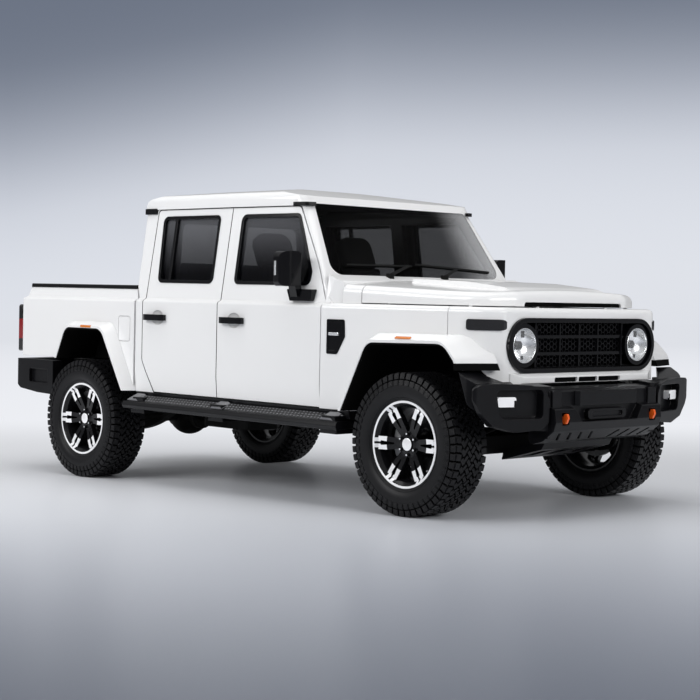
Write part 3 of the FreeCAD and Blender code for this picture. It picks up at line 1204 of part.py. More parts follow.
def rim(front, side):
    """Alloy wheel, six split spokes, with its hub and brake disc. side is +1 on the left."""
    half = RIM_W / 2
    barrel = [
        (RIM_LIP_R, -half), (RIM_LIP_R, -half + 9, 3), (RIM_SEAT_R, -half + 14), (RIM_SEAT_R, -50),
        (200, -30), (200, 40), (RIM_SEAT_R, 60), (RIM_SEAT_R, half - 14), (RIM_LIP_R, half - 9, 3),
        (RIM_LIP_R, half), (RIM_LIP_R - 12, half, 3), (204, half - 22), (190, 34), (190, -34), (206, -half + 10),
        (RIM_LIP_R - 10, -half),
    ]
    origin = V(0, 0, 0)
    parts = [revolve_y(barrel, origin)]
    hub = revolve_y([(SPINDLE_R + HUB_BORE_CLEARANCE, -46), (62, -46), (62, 48), (72, 56), (72, 74, 6), (40, 80),
                     (SPINDLE_R + HUB_BORE_CLEARANCE, 80)], origin)
    parts.append(hub)
    spoke = prism_xy([
        (0, 44), (60, 44), (120, 50), (196, 64), (208, 80), (208, 98, 6), (150, 92, 60), (60, 76), (0, 76),
    ], -36, 36)
    taper = prism_xz([(40, -25), (212, -43), (212, 43), (40, 25)], 0, 200)
    slot = prism_xz([(96, -4, 3), (190, -13, 5), (190, 13, 5), (96, 4, 3)], 0, 200)
    spoke = spoke.common(taper).cut(slot)
    spoke = spoke.cut(Part.makeCylinder(60, 300, V(0, -10, 0), V(0, 1, 0)))
    for i in range(SPOKE_PAIRS):
        turned = spoke.copy()
        turned.rotate(origin, V(0, 1, 0), i * 360 / SPOKE_PAIRS)
        parts.append(turned)
    disc = revolve_y([(40, -46), (BRAKE_DISC_R, -46), (BRAKE_DISC_R, -22), (90, -22), (90, -10), (61, -10), (40, -10)],
                     origin)
    parts.append(disc)
    cap = revolve_y([(0, 66), (38, 66), (38, 88, 8), (0, 92)], origin)
    parts.append(cap)
    wheel = fuse(parts)
    if side < 0:
        wheel = mirrored(wheel)
    wheel.translate(wheel_centre(front, side))
    return wheel


def knuckle(side):
    """Front steering knuckle: king pin, spindle, steering arm and brake caliper."""
    x, z = FRONT_AXLE_X, TYRE_R
    pin = rod((x, KINGPIN_Y, z - 118), (x, KINGPIN_Y, z + 118), 16)
    core = rod((x, KINGPIN_Y, z - 84), (x, KINGPIN_Y, z + 84), 44)
    spindle = rod((x, KINGPIN_Y + 20, z), (x, WHEEL_Y + 60, z), SPINDLE_R)
    arm = prism_xy([(x - 180, KINGPIN_Y - 46, 12), (x - 30, KINGPIN_Y - 40), (x - 20, KINGPIN_Y + 20),
                    (x - 180, KINGPIN_Y - 12, 12)], z - 70, z - 46)
    disc_y0, disc_y1 = WHEEL_Y - 46, WHEEL_Y - 22
    ring = revolve_y([(104, 0), (BRAKE_DISC_R + 26, 0), (BRAKE_DISC_R + 26, 76), (104, 76)],
                     V(x, disc_y0 - 26, z))
    caliper = ring.common(box(x - 200, x - 40, 600, 900, z - 74, z + 74))
    groove = revolve_y([(80, 0), (BRAKE_DISC_R + 5, 0), (BRAKE_DISC_R + 5, disc_y1 - disc_y0 + 10),
                        (80, disc_y1 - disc_y0 + 10)], V(x, disc_y0 - 5, z))
    caliper = caliper.cut(groove)
    bracket = box(x - 150, x - 20, KINGPIN_Y - 10, disc_y0 - 14, z - 40, z + 40)
    bracket = bracket.cut(groove)
    body = fuse([pin, core, spindle, arm, caliper, bracket])
    return body if side > 0 else mirrored(body)


def front_axle():
    """Live front axle: tubes, offset differential and king pin forks."""
    x, z = FRONT_AXLE_X, TYRE_R
    tube = rod((x, -612, z), (x, 612, z), 40)
    ball = Part.makeSphere(118, V(x, 170, z))
    cover = rod((x - 120, 170, z), (x + 130, 170, z), 84)
    parts = [tube, ball, cover]
    for side in (-1, 1):
        y = side * KINGPIN_Y
        for dz in (-1, 1):
            z0 = z + dz * 102
            plate = prism_xy([(x - 36, side * 570), (x + 36, side * 570), (x + 30, y + side * 28, 20),
                              (x - 30, y + side * 28, 20)], z0 - 12, z0 + 12)
            parts.append(plate)
        parts.append(box(x - 36, x + 36, min(side * 570, side * 636), max(side * 570, side * 636), z - 114, z + 114))
    body = fuse(parts)
    for side in (-1, 1):
        y = side * KINGPIN_Y
        body = body.cut(rod((x, y, z - 200), (x, y, z + 200), 16 + HUB_BORE_CLEARANCE))
        body = body.cut(rod((x, y, z - 89), (x, y, z + 89), 50))
    return body


def rear_axle():
    """Live rear axle: tubes, differential, backing plates and spindles."""
    x, z = REAR_AXLE_X, TYRE_R
    parts = [rod((x, -700, z), (x, 700, z), 44), Part.makeSphere(142, V(x, 0, z)),
             rod((x - 130, 0, z), (x + 150, 0, z), 96)]
    for side in (-1, 1):
        parts.append(rod((x, side * 690, z), (x, side * (WHEEL_Y + 60), z), SPINDLE_R))
        parts.append(rod((x, side * 700, z), (x, side * 724, z), 120))
    return fuse(parts)


def leaf_pack(x0, x1, z_end, z_mid, y0, y1):
    """Arched leaf spring, thicker in the middle."""
    mid = (x0 + x1) / 2
    top = Part.Arc(V(x0, y0, z_end), V(mid, y0, z_mid), V(x1, y0, z_end)).toShape()
    low = Part.Arc(V(x0, y0, z_end - 16), V(mid, y0, z_mid - 46), V(x1, y0, z_end - 16)).toShape()
    ends = [Part.LineSegment(V(x, y0, z_end), V(x, y0, z_end - 16)).toShape() for x in (x0, x1)]
    wire = Part.Wire(Part.__sortEdges__([top, low] + ends))
    return Part.Face(wire).extrude(V(0, y1 - y0, 0))


def suspension():
    """Left and right: front coils, rear leaf packs, and a damper by each wheel."""
    x, z, rear = FRONT_AXLE_X, TYRE_R, REAR_AXLE_X
    left = [rod((x, 407, z + 40), (x, 407, z + 124.5), 48),
            leaf_pack(rear - 600, rear + 560, 520, z - 44 - SEAT_CLEARANCE, LEAF_Y0, LEAF_Y1)]
    parts = left + [mirrored(s) for s in left]
    bars = set_down(crossmembers())
    axles = {True: front_axle(), False: rear_axle()}
    for side in (-1, 1):
        for front, foot, head in ((True, (x - 10, side * 330, z + 20), (x + 395, side * 300, z + 175)),
                                  (False, (rear - 10, side * 330, z + 20), (rear - 275, side * 330, z + 268))):
            lower, upper = V(*foot), V(*head)
            half = lower + (upper - lower) * 0.5
            strut = fuse([rod(foot, head, 15), rod(tuple(half), head, 24)])
            parts.append(largest(strut.cut(axles[front]).cut(bars)))
    return Part.makeCompound(parts)


def engine_block():
    x = FRONT_AXLE_X
    return box(x - 450, x + 160, -260, 260, 620 + SEAT_CLEARANCE, BELT_Z - 108)


def fuel_tank():
    rear, front = REAR_AXLE_X + 570, (FRONT_AXLE_X + REAR_AXLE_X) / 2 - 455 - SEAT_CLEARANCE
    return prism_xy([(rear, -345, 40), (front, -345, 40), (front, -60, 40), (rear, -60, 40)], 330, 540)


# Cabin

def seat(x, y, width, depth=500.0, back_top=BELT_Z + 22):
    """Cushion, leaning backrest and headrest on a low plinth, on the cabin floor."""
    floor = SILL_Z + FLOOR_T
    plinth = box(x - depth / 2 + 40, x + depth / 2 - 30, y - width / 2 + 40, y + width / 2 - 40, floor, floor + 150)
    cushion = prism_xz([(x - depth / 2, floor + 140, 20), (x + depth / 2, floor + 140, 40),
                        (x + depth / 2 + 10, floor + 270, 50), (x - depth / 2, floor + 250, 20)],
                       y - width / 2, y + width / 2)
    lean = 110.0
    back = prism_xz([(x - depth / 2 - 30, floor + 170), (x - depth / 2 + 100, floor + 190),
                     (x - depth / 2 + 100 - lean, back_top, 40),
                     (x - depth / 2 - 10 - lean, back_top, 40)], y - width / 2 + 10, y + width / 2 - 10)
    head_x = x - depth / 2 + 30 - lean
    head = prism_xz([(head_x - 50, back_top + 30, 20), (head_x + 40, back_top + 30, 20),
                     (head_x + 20, back_top + 200, 30), (head_x - 60, back_top + 200, 30)], y - 130, y + 130)
    posts = [rod((head_x - 10, y + dy, back_top - 30), (head_x - 14, y + dy, back_top + 60), 7) for dy in (-60, 60)]
    return fuse([plinth, cushion, back, head] + posts)


def front_seats():
    x = B_SEAM_X + 345
    return Part.makeCompound([seat(x, 360, 520), seat(x, -360, 520)])


def rear_seat():
    parts = [seat(C_SEAM_X + 376, y, 440, 480.0, BELT_Z + 32) for y in (-440, 0, 440)]
    return fuse(parts)


def dashboard():
    back, top = FIREWALL_X - WALL_T - SEAT_CLEARANCE, BELT_Z + 47
    body = prism_xz([(back, top - 315), (back, top), (back - 130, top, 40), (back - 200, top - 85, 60),
                     (back - 150, top - 255, 40)], -690, 690)
    binnacle = prism_xz([(back - 170, top - 25), (back - 110, top - 25), (back - 120, top + 47, 20),
                         (back - 190, top + 43, 20)], 240, 520)
    dash = fuse([body, binnacle])
    return dash.cut(ahead_of_screen(-62 - SEAT_CLEARANCE))


def steering_wheel():
    centre = V(A_SEAM_X - 288, 380, BELT_Z - 18)
    tilt = V(-0.92, 0, 0.39)
    ring = Part.makeTorus(185, 16, centre, tilt)
    column = rod(tuple(centre), (centre.x + 100, 380, centre.z - 42), 30)
    spokes = [Part.makeCylinder(12, 180, centre, V(*d)) for d in ((0, 1, 0), (0, -1, 0), (-0.39, 0, -0.92))]
    pad = Part.makeCylinder(62, 40, centre - tilt.normalize() * 14, tilt)
    return fuse([ring, column, pad] + spokes).cut(dashboard())


def set_down(shape):
    """Turns a sprung piece from the level layout to the rake it stands at."""
    turned = shape.copy()
    turned.rotate(V(0, 0, RAKE_PIVOT_Z), V(0, 1, 0), RAKE_DEG)
    return turned


def main():
    os.makedirs("parts", exist_ok=True)
    for name in os.listdir("parts"):
        if name.endswith(".step"):
            os.remove(os.path.join("parts", name))
    shell = clip_shell()
    hood_body = hood_form()
    clip_outer = clip_volume(0, BELT_Z)
    sprung = {
        "cab_shell": cab_shell(),
        "cowl_panel": cowl_panel(hood_body),
        "roof_panel": roof_panel(),
        "cab_glass": cab_glass(),
        "front_fenders": front_fenders(shell),
        "nose_panel": nose_panel(shell),
        "grille": grille(),
        "headlamps": headlamps(),
        "hood": hood(hood_body),
        "cargo_bed": cargo_bed().cut(fuel_flap(3.0)),
        "fuel_flap": fuel_flap(),
        "bed_rail_caps": bed_rail_caps(),
        "tailgate": tailgate(),
        "tail_lamps": tail_lamps(),
        "front_bumper": front_bumper(),
        "skid_plate": skid_plate(),
        "tow_hooks": tow_hooks(),
        "small_lamps": Part.makeCompound([fog_lamps(), side_lamps()]),
        "rear_bumper": rear_bumper(),
        "ladder_frame": Part.makeCompound([frame_rails(), crossmembers()]),
        "fender_vents": fender_vents(),
        "transfer_case": transfer_case(),
        "exhaust": exhaust(),
        "engine_block": engine_block(),
        "fuel_tank": fuel_tank(),
        "seats": Part.makeCompound([front_seats(), rear_seat()]),
        "dashboard": dashboard(),
        "steering_wheel": steering_wheel(),
    }
    ff, strip = front_flare(clip_outer)
    rf = rear_flare(bed_side_solid())
    sprung["wheel_flares"] = Part.makeCompound([ff, mirrored(ff), rf, mirrored(rf)])
    fl, rl = arch_liner(FRONT_AXLE_X, True), arch_liner(REAR_AXLE_X, False)
    fl = fl.cut(shell).cut(strip)
    sprung["arch_liners"] = Part.makeCompound([s for piece in (fl, rl, strip) for s in (piece, mirrored(piece))])
    caps = gutter_caps()
    wiper_pair = wipers()
    sprung["wipers"] = Part.makeCompound([largest(wiper.cut(sprung["cab_shell"])) for wiper in wiper_pair])
    caps = [largest(cap.cut(sprung["roof_panel"]).cut(sprung["cab_shell"])) for cap in caps]
    sprung["gutter_caps"] = Part.makeCompound(caps + [mirrored(cap) for cap in caps])
    step = side_step()
    sprung["side_steps"] = Part.makeCompound([step, mirrored(step)])
    for place, front in (("front", True), ("rear", False)):
        pieces = {"door": door(front), "door_glass": door_glass(front)}
        handle = door_handle(B_SEAM_X + 149 if front else C_SEAM_X + 145)
        fittings = [window_seal(front), handle] + ([mirror()] if front else [])
        pieces["door_fittings"] = Part.makeCompound(fittings)
        for kind, shape in pieces.items():
            sprung[f"{kind}_{place}_left"] = shape
            sprung[f"{kind}_{place}_right"] = mirrored(shape)
    unsprung = {"front_axle": front_axle(), "rear_axle": rear_axle(), "suspension": suspension(),
                "knuckle_left": knuckle(1), "knuckle_right": knuckle(-1)}
    z = TYRE_R
    x = (FRONT_AXLE_X + REAR_AXLE_X) / 2 + 445
    front_shaft = shaft((x + 130, 170, z + 8), (FRONT_AXLE_X - 120 - SEAT_CLEARANCE, 170, z))
    rear_shaft = shaft((x - 320, 0, z + 8), (REAR_AXLE_X + 150 + SEAT_CLEARANCE, 0, z))
    case = set_down(sprung["transfer_case"])
    front_shaft = front_shaft.cut(unsprung["front_axle"])
    unsprung["propeller_shafts"] = Part.makeCompound([front_shaft.cut(case), rear_shaft.cut(case)])
    form = tyre_form()
    for place, front in (("front", True), ("rear", False)):
        for hand, side in (("left", 1), ("right", -1)):
            tyre = form.copy() if side > 0 else mirrored(form)
            tyre.translate(wheel_centre(front, side))
            unsprung[f"tyre_{place}_{hand}"] = tyre
            unsprung[f"rim_{place}_{hand}"] = rim(front, side)
    nodes = {name: set_down(shape) for name, shape in sprung.items()}
    nodes.update(unsprung)
    for name, shape in nodes.items():
        bad = "" if shape.isValid() else " NOT VALID"
        print(f"{name}: {len(shape.Solids)} solids, {shape.Volume / 1e6:.2f} litres{bad}")
        shape.exportStep(os.path.join("parts", name + ".step"))


main()
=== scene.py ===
"""Looks of the lifted double-cab pickup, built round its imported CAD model.

Everything is in metres in the model's own frame: +X forward, +Y left, +Z up. Pieces of the sprung
body are drawn level and then set nose down by the rake, as the solids are.
"""

import math

import bmesh
import bpy
from mathutils import Matrix, Vector


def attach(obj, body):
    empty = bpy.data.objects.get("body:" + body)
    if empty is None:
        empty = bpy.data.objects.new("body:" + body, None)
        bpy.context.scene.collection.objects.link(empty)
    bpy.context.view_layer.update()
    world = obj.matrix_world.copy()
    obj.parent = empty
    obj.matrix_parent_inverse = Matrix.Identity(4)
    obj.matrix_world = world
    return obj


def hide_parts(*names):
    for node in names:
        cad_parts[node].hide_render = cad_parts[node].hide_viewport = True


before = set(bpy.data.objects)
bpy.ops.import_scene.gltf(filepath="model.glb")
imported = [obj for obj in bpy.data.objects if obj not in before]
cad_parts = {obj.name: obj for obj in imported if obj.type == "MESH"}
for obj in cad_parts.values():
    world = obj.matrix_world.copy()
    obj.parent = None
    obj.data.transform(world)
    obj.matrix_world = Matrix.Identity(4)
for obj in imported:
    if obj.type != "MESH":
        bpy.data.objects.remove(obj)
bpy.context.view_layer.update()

# Layout shared with the solids
RAKE = math.radians(1.2)
RAKE_PIVOT_Z = 0.6
FRONT_AXLE_X = 1.6
REAR_AXLE_X = -1.37
WHEEL_Y = 0.8025
TYRE_R = 0.388
TYRE_HALF_W = 0.1325
NOSE_X = FRONT_AXLE_X + 0.49
BELT_Z = 1.168
GRILLE_Z = BELT_Z - 0.201
HEADLAMP_Y = 0.5
AXLES = (("front", FRONT_AXLE_X), ("rear", REAR_AXLE_X))
HANDS = (("left", 1), ("right", -1))
SIDES = (-1, 1)


def at(x, y, z):
    return Matrix.Translation((x, y, z))


def turned(angle, axis):
    return Matrix.Rotation(angle, 4, axis)


SET_DOWN = at(0, 0, RAKE_PIVOT_Z) @ turned(RAKE, "Y") @ at(0, 0, -RAKE_PIVOT_Z)


# Nodes of materials and of the world, which are called their owner here

def node(owner, kind, **settings):
    made = owner.node_tree.nodes.new(kind)
    for key, value in settings.items():
        setattr(made, key, value)
    return made


def link(owner, source, target):
    owner.node_tree.links.new(source, target)


def fill(owner, made, values):
    """Sets a node's first sockets, to fixed values or to links."""
    for socket, value in zip(made.inputs, values):
        if isinstance(value, (int, float, tuple)):
            socket.default_value = value
        else:
            link(owner, value, socket)


def math_node(owner, operation, *values):
    made = node(owner, "ShaderNodeMath", operation=operation)
    fill(owner, made, values)
    return made.outputs[0]


def vector_node(owner, operation, *values):
    made = node(owner, "ShaderNodeVectorMath", operation=operation)
    fill(owner, made, values)
    return made.outputs


def product(owner, first, *others):
    for other in others:
        first = math_node(owner, "MULTIPLY", first, other)
    return first


def less(owner, value, limit):
    """1 where value < limit, else 0."""
    return math_node(owner, "LESS_THAN", value, limit)


def more(owner, value, limit):
    """1 where value > limit, else 0."""
    return math_node(owner, "GREATER_THAN", value, limit)


def between(owner, value, low, high):
    """1 where low < value < high, else 0."""
    return product(owner, more(owner, value, low), less(owner, value, high))


def map_range(owner, value, low, high, kind="SMOOTHSTEP", top=1.0):
    """0 at low, top at high, and held beyond them."""
    made = node(owner, "ShaderNodeMapRange", interpolation_type=kind)
    made.inputs["From Min"].default_value = low
    made.inputs["From Max"].default_value = high
    made.inputs["To Max"].default_value = top
    link(owner, value, made.inputs["Value"])
    return made.outputs["Result"]


def color_ramp(owner, value, stops):
    ramp = node(owner, "ShaderNodeValToRGB")
    ramp.color_ramp.interpolation = "B_SPLINE"
    elements = ramp.color_ramp.elements
    while len(elements) < len(stops):
        elements.new(0.5)
    for element, (position, color) in zip(elements, stops):
        element.position = position
        element.color = (*color, 1)
    link(owner, value, ramp.inputs["Fac"])
    return ramp.outputs["Color"]


def separated(owner, vector):
    separate = node(owner, "ShaderNodeSeparateXYZ")
    link(owner, vector, separate.inputs[0])
    return separate.outputs


def object_place(material):
    return node(material, "ShaderNodeTexCoord").outputs["Object"]


def object_xyz(material):
    return separated(material, object_place(material))


def true_normal(material):
    return node(material, "ShaderNodeNewGeometry").outputs["True Normal"]


# Materials

COAT_ROUGHNESS = 0.06


def shader(name, color, roughness, metallic=0.0, coat=0.0, alpha=1.0, specular=0.5):
    material = bpy.data.materials.new(name)
    material.use_nodes = True
    principled = material.node_tree.nodes["Principled BSDF"]
    principled.inputs["Base Color"].default_value = (*color, 1.0)
    principled.inputs["Roughness"].default_value = roughness
    principled.inputs["Metallic"].default_value = metallic
    principled.inputs["Coat Weight"].default_value = coat
    principled.inputs["Coat Roughness"].default_value = COAT_ROUGHNESS
    principled.inputs["Alpha"].default_value = alpha
    principled.inputs["Specular IOR Level"].default_value = specular
    return material


def into_shader(material, source, socket):
    link(material, source, material.node_tree.nodes["Principled BSDF"].inputs[socket])


def two_colors(material, mask, first, second):
    """Base colour: first where mask is 0, second where it is 1."""
    mix = node(material, "ShaderNodeMix", data_type="RGBA")
    mix.inputs["A"].default_value = (*first, 1)
    mix.inputs["B"].default_value = (*second, 1)
    link(material, mask, mix.inputs["Factor"])
    into_shader(material, mix.outputs["Result"], "Base Color")


def round_edges(material, radius):
    """Shades the edges as if they were rounded."""
    bevel = node(material, "ShaderNodeBevel", samples=4)
    bevel.inputs["Radius"].default_value = radius
    into_shader(material, bevel.outputs["Normal"], "Normal")
    return bevel.outputs["Normal"]


def bump(material, height, strength, distance, normal=None, invert=False):
    """Shades a relief, over another normal where one is given."""
    relief = node(material, "ShaderNodeBump", invert=invert)
    relief.inputs["Strength"].default_value = strength
    relief.inputs["Distance"].default_value = distance
    link(material, height, relief.inputs["Height"])
    if normal is not None:
        link(material, normal, relief.inputs["Normal"])
    into_shader(material, relief.outputs["Normal"], "Normal")


def grain(material, scale, strength, distance, radius=0.0):
    """Fine moulded grain, over rounded edges where a radius is given."""
    noise = node(material, "ShaderNodeTexNoise")
    noise.inputs["Scale"].default_value = scale
    noise.inputs["Detail"].default_value = 3
    link(material, object_place(material), noise.inputs["Vector"])
    edges = round_edges(material, radius) if radius else None
    bump(material, noise.outputs["Fac"], strength, distance, edges)


PAINT = (0.81, 0.81, 0.81)
PAINT_ROUGHNESS, PAINT_COAT = 0.3, 0.5
PAINT_EDGE_R = 0.005
LINING = (0.006, 0.006, 0.007)
LINING_REACH = 0.12
CABIN_MIDDLE = (0.0, 0.0, 1.15)
DISH_PLACES = ((0.133, 1.046), (-0.612, 1.061))
DISH_HALF_X, DISH_HALF_Z, DISH_DEPTH = 0.058, 0.046, 0.018
DISH_POWER = 0.7
BED_UNDERSIDE = (0.004, 0.004, 0.004)
BED_UNDERSIDE_HALF_Y, BED_UNDERSIDE_Z = 0.77, 0.835


def paint(name):
    return shader(name, PAINT, PAINT_ROUGHNESS, coat=PAINT_COAT)


def handle_dishes(material):
    """Shallow round dishes behind the handles, pressed into the paint's shading."""
    xyz = object_xyz(material)
    nearest = None
    for dish_x, dish_z in DISH_PLACES:
        squares = []
        for along, middle, half in (("X", dish_x, DISH_HALF_X), ("Z", dish_z, DISH_HALF_Z)):
            offset = math_node(material, "SUBTRACT", xyz[along], middle)
            share = math_node(material, "DIVIDE", offset, half)
            squares.append(product(material, share, share))
        away = math_node(material, "ADD", *squares)
        nearest = away if nearest is None else math_node(material, "MINIMUM", nearest, away)
    inside = math_node(material, "MAXIMUM", math_node(material, "SUBTRACT", 1.0, nearest), 0.0)
    dish = math_node(material, "POWER", inside, DISH_POWER)
    bump(material, dish, 1.0, DISH_DEPTH, round_edges(material, PAINT_EDGE_R), invert=True)


def dark_lining(material):
    """Body paint outside; a dark lining on the faces that look towards the cabin."""
    outwards = vector_node(material, "SUBTRACT", object_place(material), CABIN_MIDDLE)["Vector"]
    facing = vector_node(material, "DOT_PRODUCT", outwards, true_normal(material))["Value"]
    two_colors(material, less(material, facing, LINING_REACH), PAINT, LINING)


white_paint = paint("white_paint")
cab_paint = paint("cab_paint")
door_paint = paint("door_paint")
bed_paint = paint("bed_paint")
for painted in (white_paint, cab_paint, bed_paint):
    round_edges(painted, PAINT_EDGE_R)
handle_dishes(door_paint)
dark_lining(cab_paint)
dark_lining(door_paint)
grained_black = shader("grained_black", (0.004, 0.004, 0.005), 0.30, specular=0.22)
grain(grained_black, 900, 0.2, 0.0005, 0.006)
liner_black = shader("liner_black", (0.003, 0.003, 0.003), 0.9, specular=0.05)
gloss_black = shader("gloss_black", (0.002, 0.002, 0.003), 0.10, coat=0.05, specular=0.22)
round_edges(gloss_black, 0.003)
mesh_black = shader("mesh_black", (0.004, 0.004, 0.005), 0.3, specular=0.2)
seal_rubber = shader("seal_rubber", (0.003, 0.003, 0.004), 0.16, specular=0.3)
round_edges(seal_rubber, 0.004)
tyre_rubber = shader("tyre_rubber", (0.007, 0.007, 0.008), 0.42, specular=0.19)
grain(tyre_rubber, 700, 0.15, 0.0006)
# Darker rubber deep in the tread: painted shade in the grooves
painted_groove_shade = shader("painted_groove_shade", (0.0015, 0.0015, 0.0015), 0.9, specular=0.05)
chassis_black = shader("chassis_black", (0.004, 0.004, 0.004), 0.6, specular=0.15)
cast_metal = shader("cast_metal", (0.05, 0.05, 0.052), 0.55, metallic=0.7)
bright_metal = shader("bright_metal", (0.82, 0.83, 0.85), 0.24, metallic=0.8)
reflector = shader("reflector", (0.93, 0.94, 0.95), 0.27, metallic=1.0)
clear_lens = shader("clear_lens", (0.9, 0.92, 0.94), 0.02, alpha=0.07, specular=0.5)
orange_paint = shader("orange_paint", (0.78, 0.11, 0.01), 0.35)
amber_lens = shader("amber_lens", (0.62, 0.17, 0.015), 0.25)
seat_cloth = shader("seat_cloth", (0.010, 0.010, 0.011), 0.9)
grain(seat_cloth, 1300, 0.5, 0.001)
cabin_black = shader("cabin_black", (0.006, 0.006, 0.007), 0.7)
step_metal = shader("step_metal", (0.20, 0.20, 0.21), 0.35, metallic=0.6)

# The bed's underside shows black in the wheel houses
bed_xyz = object_xyz(bed_paint)
inboard = less(bed_paint, math_node(bed_paint, "ABSOLUTE", bed_xyz["Y"]), BED_UNDERSIDE_HALF_Y)
beneath = less(bed_paint, bed_xyz["Z"], BED_UNDERSIDE_Z)
two_colors(bed_paint, product(bed_paint, inboard, beneath), PAINT, BED_UNDERSIDE)

# The tail lamps are black with a red band; of the small lamps only the fog lamps are pale
RED_BAND_Z = (0.909, 1.047)
tail_lens = shader("tail_lens", (0.01, 0.01, 0.01), 0.12, coat=0.4)
red_band = between(tail_lens, object_xyz(tail_lens)["Z"], *RED_BAND_Z)
two_colors(tail_lens, red_band, (0.012, 0.011, 0.011), (0.22, 0.008, 0.010))
FOG_LAMPS_BELOW_Z = 0.8
small_lamp_lens = shader("small_lamp_lens", (0.1, 0.1, 0.1), 0.12, coat=0.5)
fog_lamps = less(small_lamp_lens, object_xyz(small_lamp_lens)["Z"], FOG_LAMPS_BELOW_Z)
two_colors(small_lamp_lens, fog_lamps, (0.008, 0.008, 0.010), (0.95, 0.95, 0.96))

# The brake calipers, outboard on the knuckles, are bare metal
CALIPER_FROM_Y = 0.74
knuckle_metal = shader("knuckle_metal", (0.05, 0.05, 0.05), 0.4, metallic=0.6)
caliper = more(knuckle_metal,
               math_node(knuckle_metal, "ABSOLUTE", object_xyz(knuckle_metal)["Y"]), CALIPER_FROM_Y)
two_colors(knuckle_metal, caliper, (0.02, 0.02, 0.02), (0.62, 0.63, 0.65))


def glass_with_painted_reflection(name, alpha, specular, axis, reach, dark, pale):
    """Tinted glass with a painted reflection, paler towards one side."""
    material = shader(name, (0, 0, 0), 0.03, alpha=alpha, specular=specular)
    two_colors(material, map_range(material, object_xyz(material)[axis], *reach), dark, pale)
    return material


# Side windows: tinted, and paler towards the top as a painted reflection
tinted_glass_with_painted_reflection = glass_with_painted_reflection("tinted_glass_with_painted_reflection", 0.68, 0.2, "Z", (1.31, 1.82),
                            (0.001, 0.001, 0.002), (0.15, 0.153, 0.165))
# Windscreen: dark, and paler towards its left edge as a painted reflection
screen_glass = glass_with_painted_reflection("screen_glass", 0.30, 0.06, "Y", (0.34, 0.74),
                            (0.001, 0.001, 0.001), (0.80, 0.805, 0.82))

SPOKE_PITCH = math.tau / 6
WHEEL_FACE_Y = WHEEL_Y + 0.07
PRONG_R = (0.148, 0.2245)
PRONG_FACING = 0.84
SPLIT_HALF_W = 0.0062
SPOKE_ROOT_R = (0.206, 0.2245)
SPOKE_ROOT_ACROSS = (SPLIT_HALF_W, 0.027)
SPOKE_ROOT_FACING = 0.25
LIP_R = (0.2238, 0.25)
LIP_FACING = -0.2
CAP_R, CAP_FACING = 0.034, 0.3
MACHINED_METALLIC = 0.2


def wheel_material(name, axle_x, side):
    """Black wheel with machined lip, spoke ends and centre cap."""
    material = shader(name, (0.012, 0.012, 0.013), 0.22, coat=0.05, specular=0.24)
    xyz = object_xyz(material)
    dx = math_node(material, "SUBTRACT", xyz["X"], axle_x)
    dz = math_node(material, "SUBTRACT", xyz["Z"], TYRE_R)
    squares = math_node(material, "ADD", product(material, dx, dx), product(material, dz, dz))
    radius = math_node(material, "SQRT", squares)
    facing = product(material, separated(material, true_normal(material))["Y"], side)
    outside = more(material, product(material, xyz["Y"], side), WHEEL_FACE_Y)
    turn = math_node(material, "DIVIDE", math_node(material, "ARCTAN2", dz, dx), SPOKE_PITCH)
    past_spoke = math_node(material, "SUBTRACT", turn, math_node(material, "ROUND", turn))
    across = product(material, math_node(material, "ABSOLUTE", past_spoke), radius, SPOKE_PITCH)
    prong = product(material, between(material, radius, *PRONG_R),
                    more(material, facing, PRONG_FACING), more(material, across, SPLIT_HALF_W))
    root = product(material, between(material, radius, *SPOKE_ROOT_R),
                   more(material, facing, SPOKE_ROOT_FACING),
                   between(material, across, *SPOKE_ROOT_ACROSS))
    lip = product(material, between(material, radius, *LIP_R), more(material, facing, LIP_FACING))
    spoke_end = math_node(material, "MAXIMUM", prong, root)
    machined = product(material, math_node(material, "MAXIMUM", spoke_end, lip), outside)
    cap = product(material, less(material, radius, CAP_R), more(material, facing, CAP_FACING))
    mask = math_node(material, "MAXIMUM", machined, cap)
    two_colors(material, mask, (0.006, 0.006, 0.007), (0.96, 0.96, 0.97))
    into_shader(material, product(material, mask, MACHINED_METALLIC), "Metallic")
    return material


NODE_MATERIALS = {
    cab_paint: ["cab_shell", "roof_panel"],
    white_paint: ["cowl_panel", "front_fenders", "nose_panel", "hood", "fuel_flap", "tailgate",
                  "wheel_flares"],
    bed_paint: ["cargo_bed"],
    knuckle_metal: ["knuckle_left", "knuckle_right"],
    grained_black: ["front_bumper", "rear_bumper", "side_steps", "bed_rail_caps", "skid_plate",
                    "gutter_caps"],
    gloss_black: ["grille", "fender_vents"],
    liner_black: ["arch_liners"],
    screen_glass: ["cab_glass"],
    chassis_black: ["wipers", "ladder_frame", "fuel_tank", "front_axle", "rear_axle",
                    "suspension", "propeller_shafts"],
    cast_metal: ["engine_block", "transfer_case", "exhaust"],
    orange_paint: ["tow_hooks"],
    tail_lens: ["tail_lamps"],
    small_lamp_lens: ["small_lamps"],
    seat_cloth: ["seats"],
    cabin_black: ["dashboard", "steering_wheel"],
    clear_lens: ["headlamps"],
}
for place, axle_x in AXLES:
    for hand, side in HANDS:
        corner = f"{place}_{hand}"
        rim_finish = wheel_material(f"wheel_{corner}_finish", axle_x, side)
        NODE_MATERIALS[rim_finish] = [f"rim_{corner}"]
        for material, name in ((door_paint, "door"), (tinted_glass_with_painted_reflection, "door_glass"),
                               (seal_rubber, "door_fittings"), (tyre_rubber, "tyre")):
            NODE_MATERIALS.setdefault(material, []).append(f"{name}_{corner}")

WELD_DISTANCE = 0.00002
CREASE_ANGLE = math.radians(24)


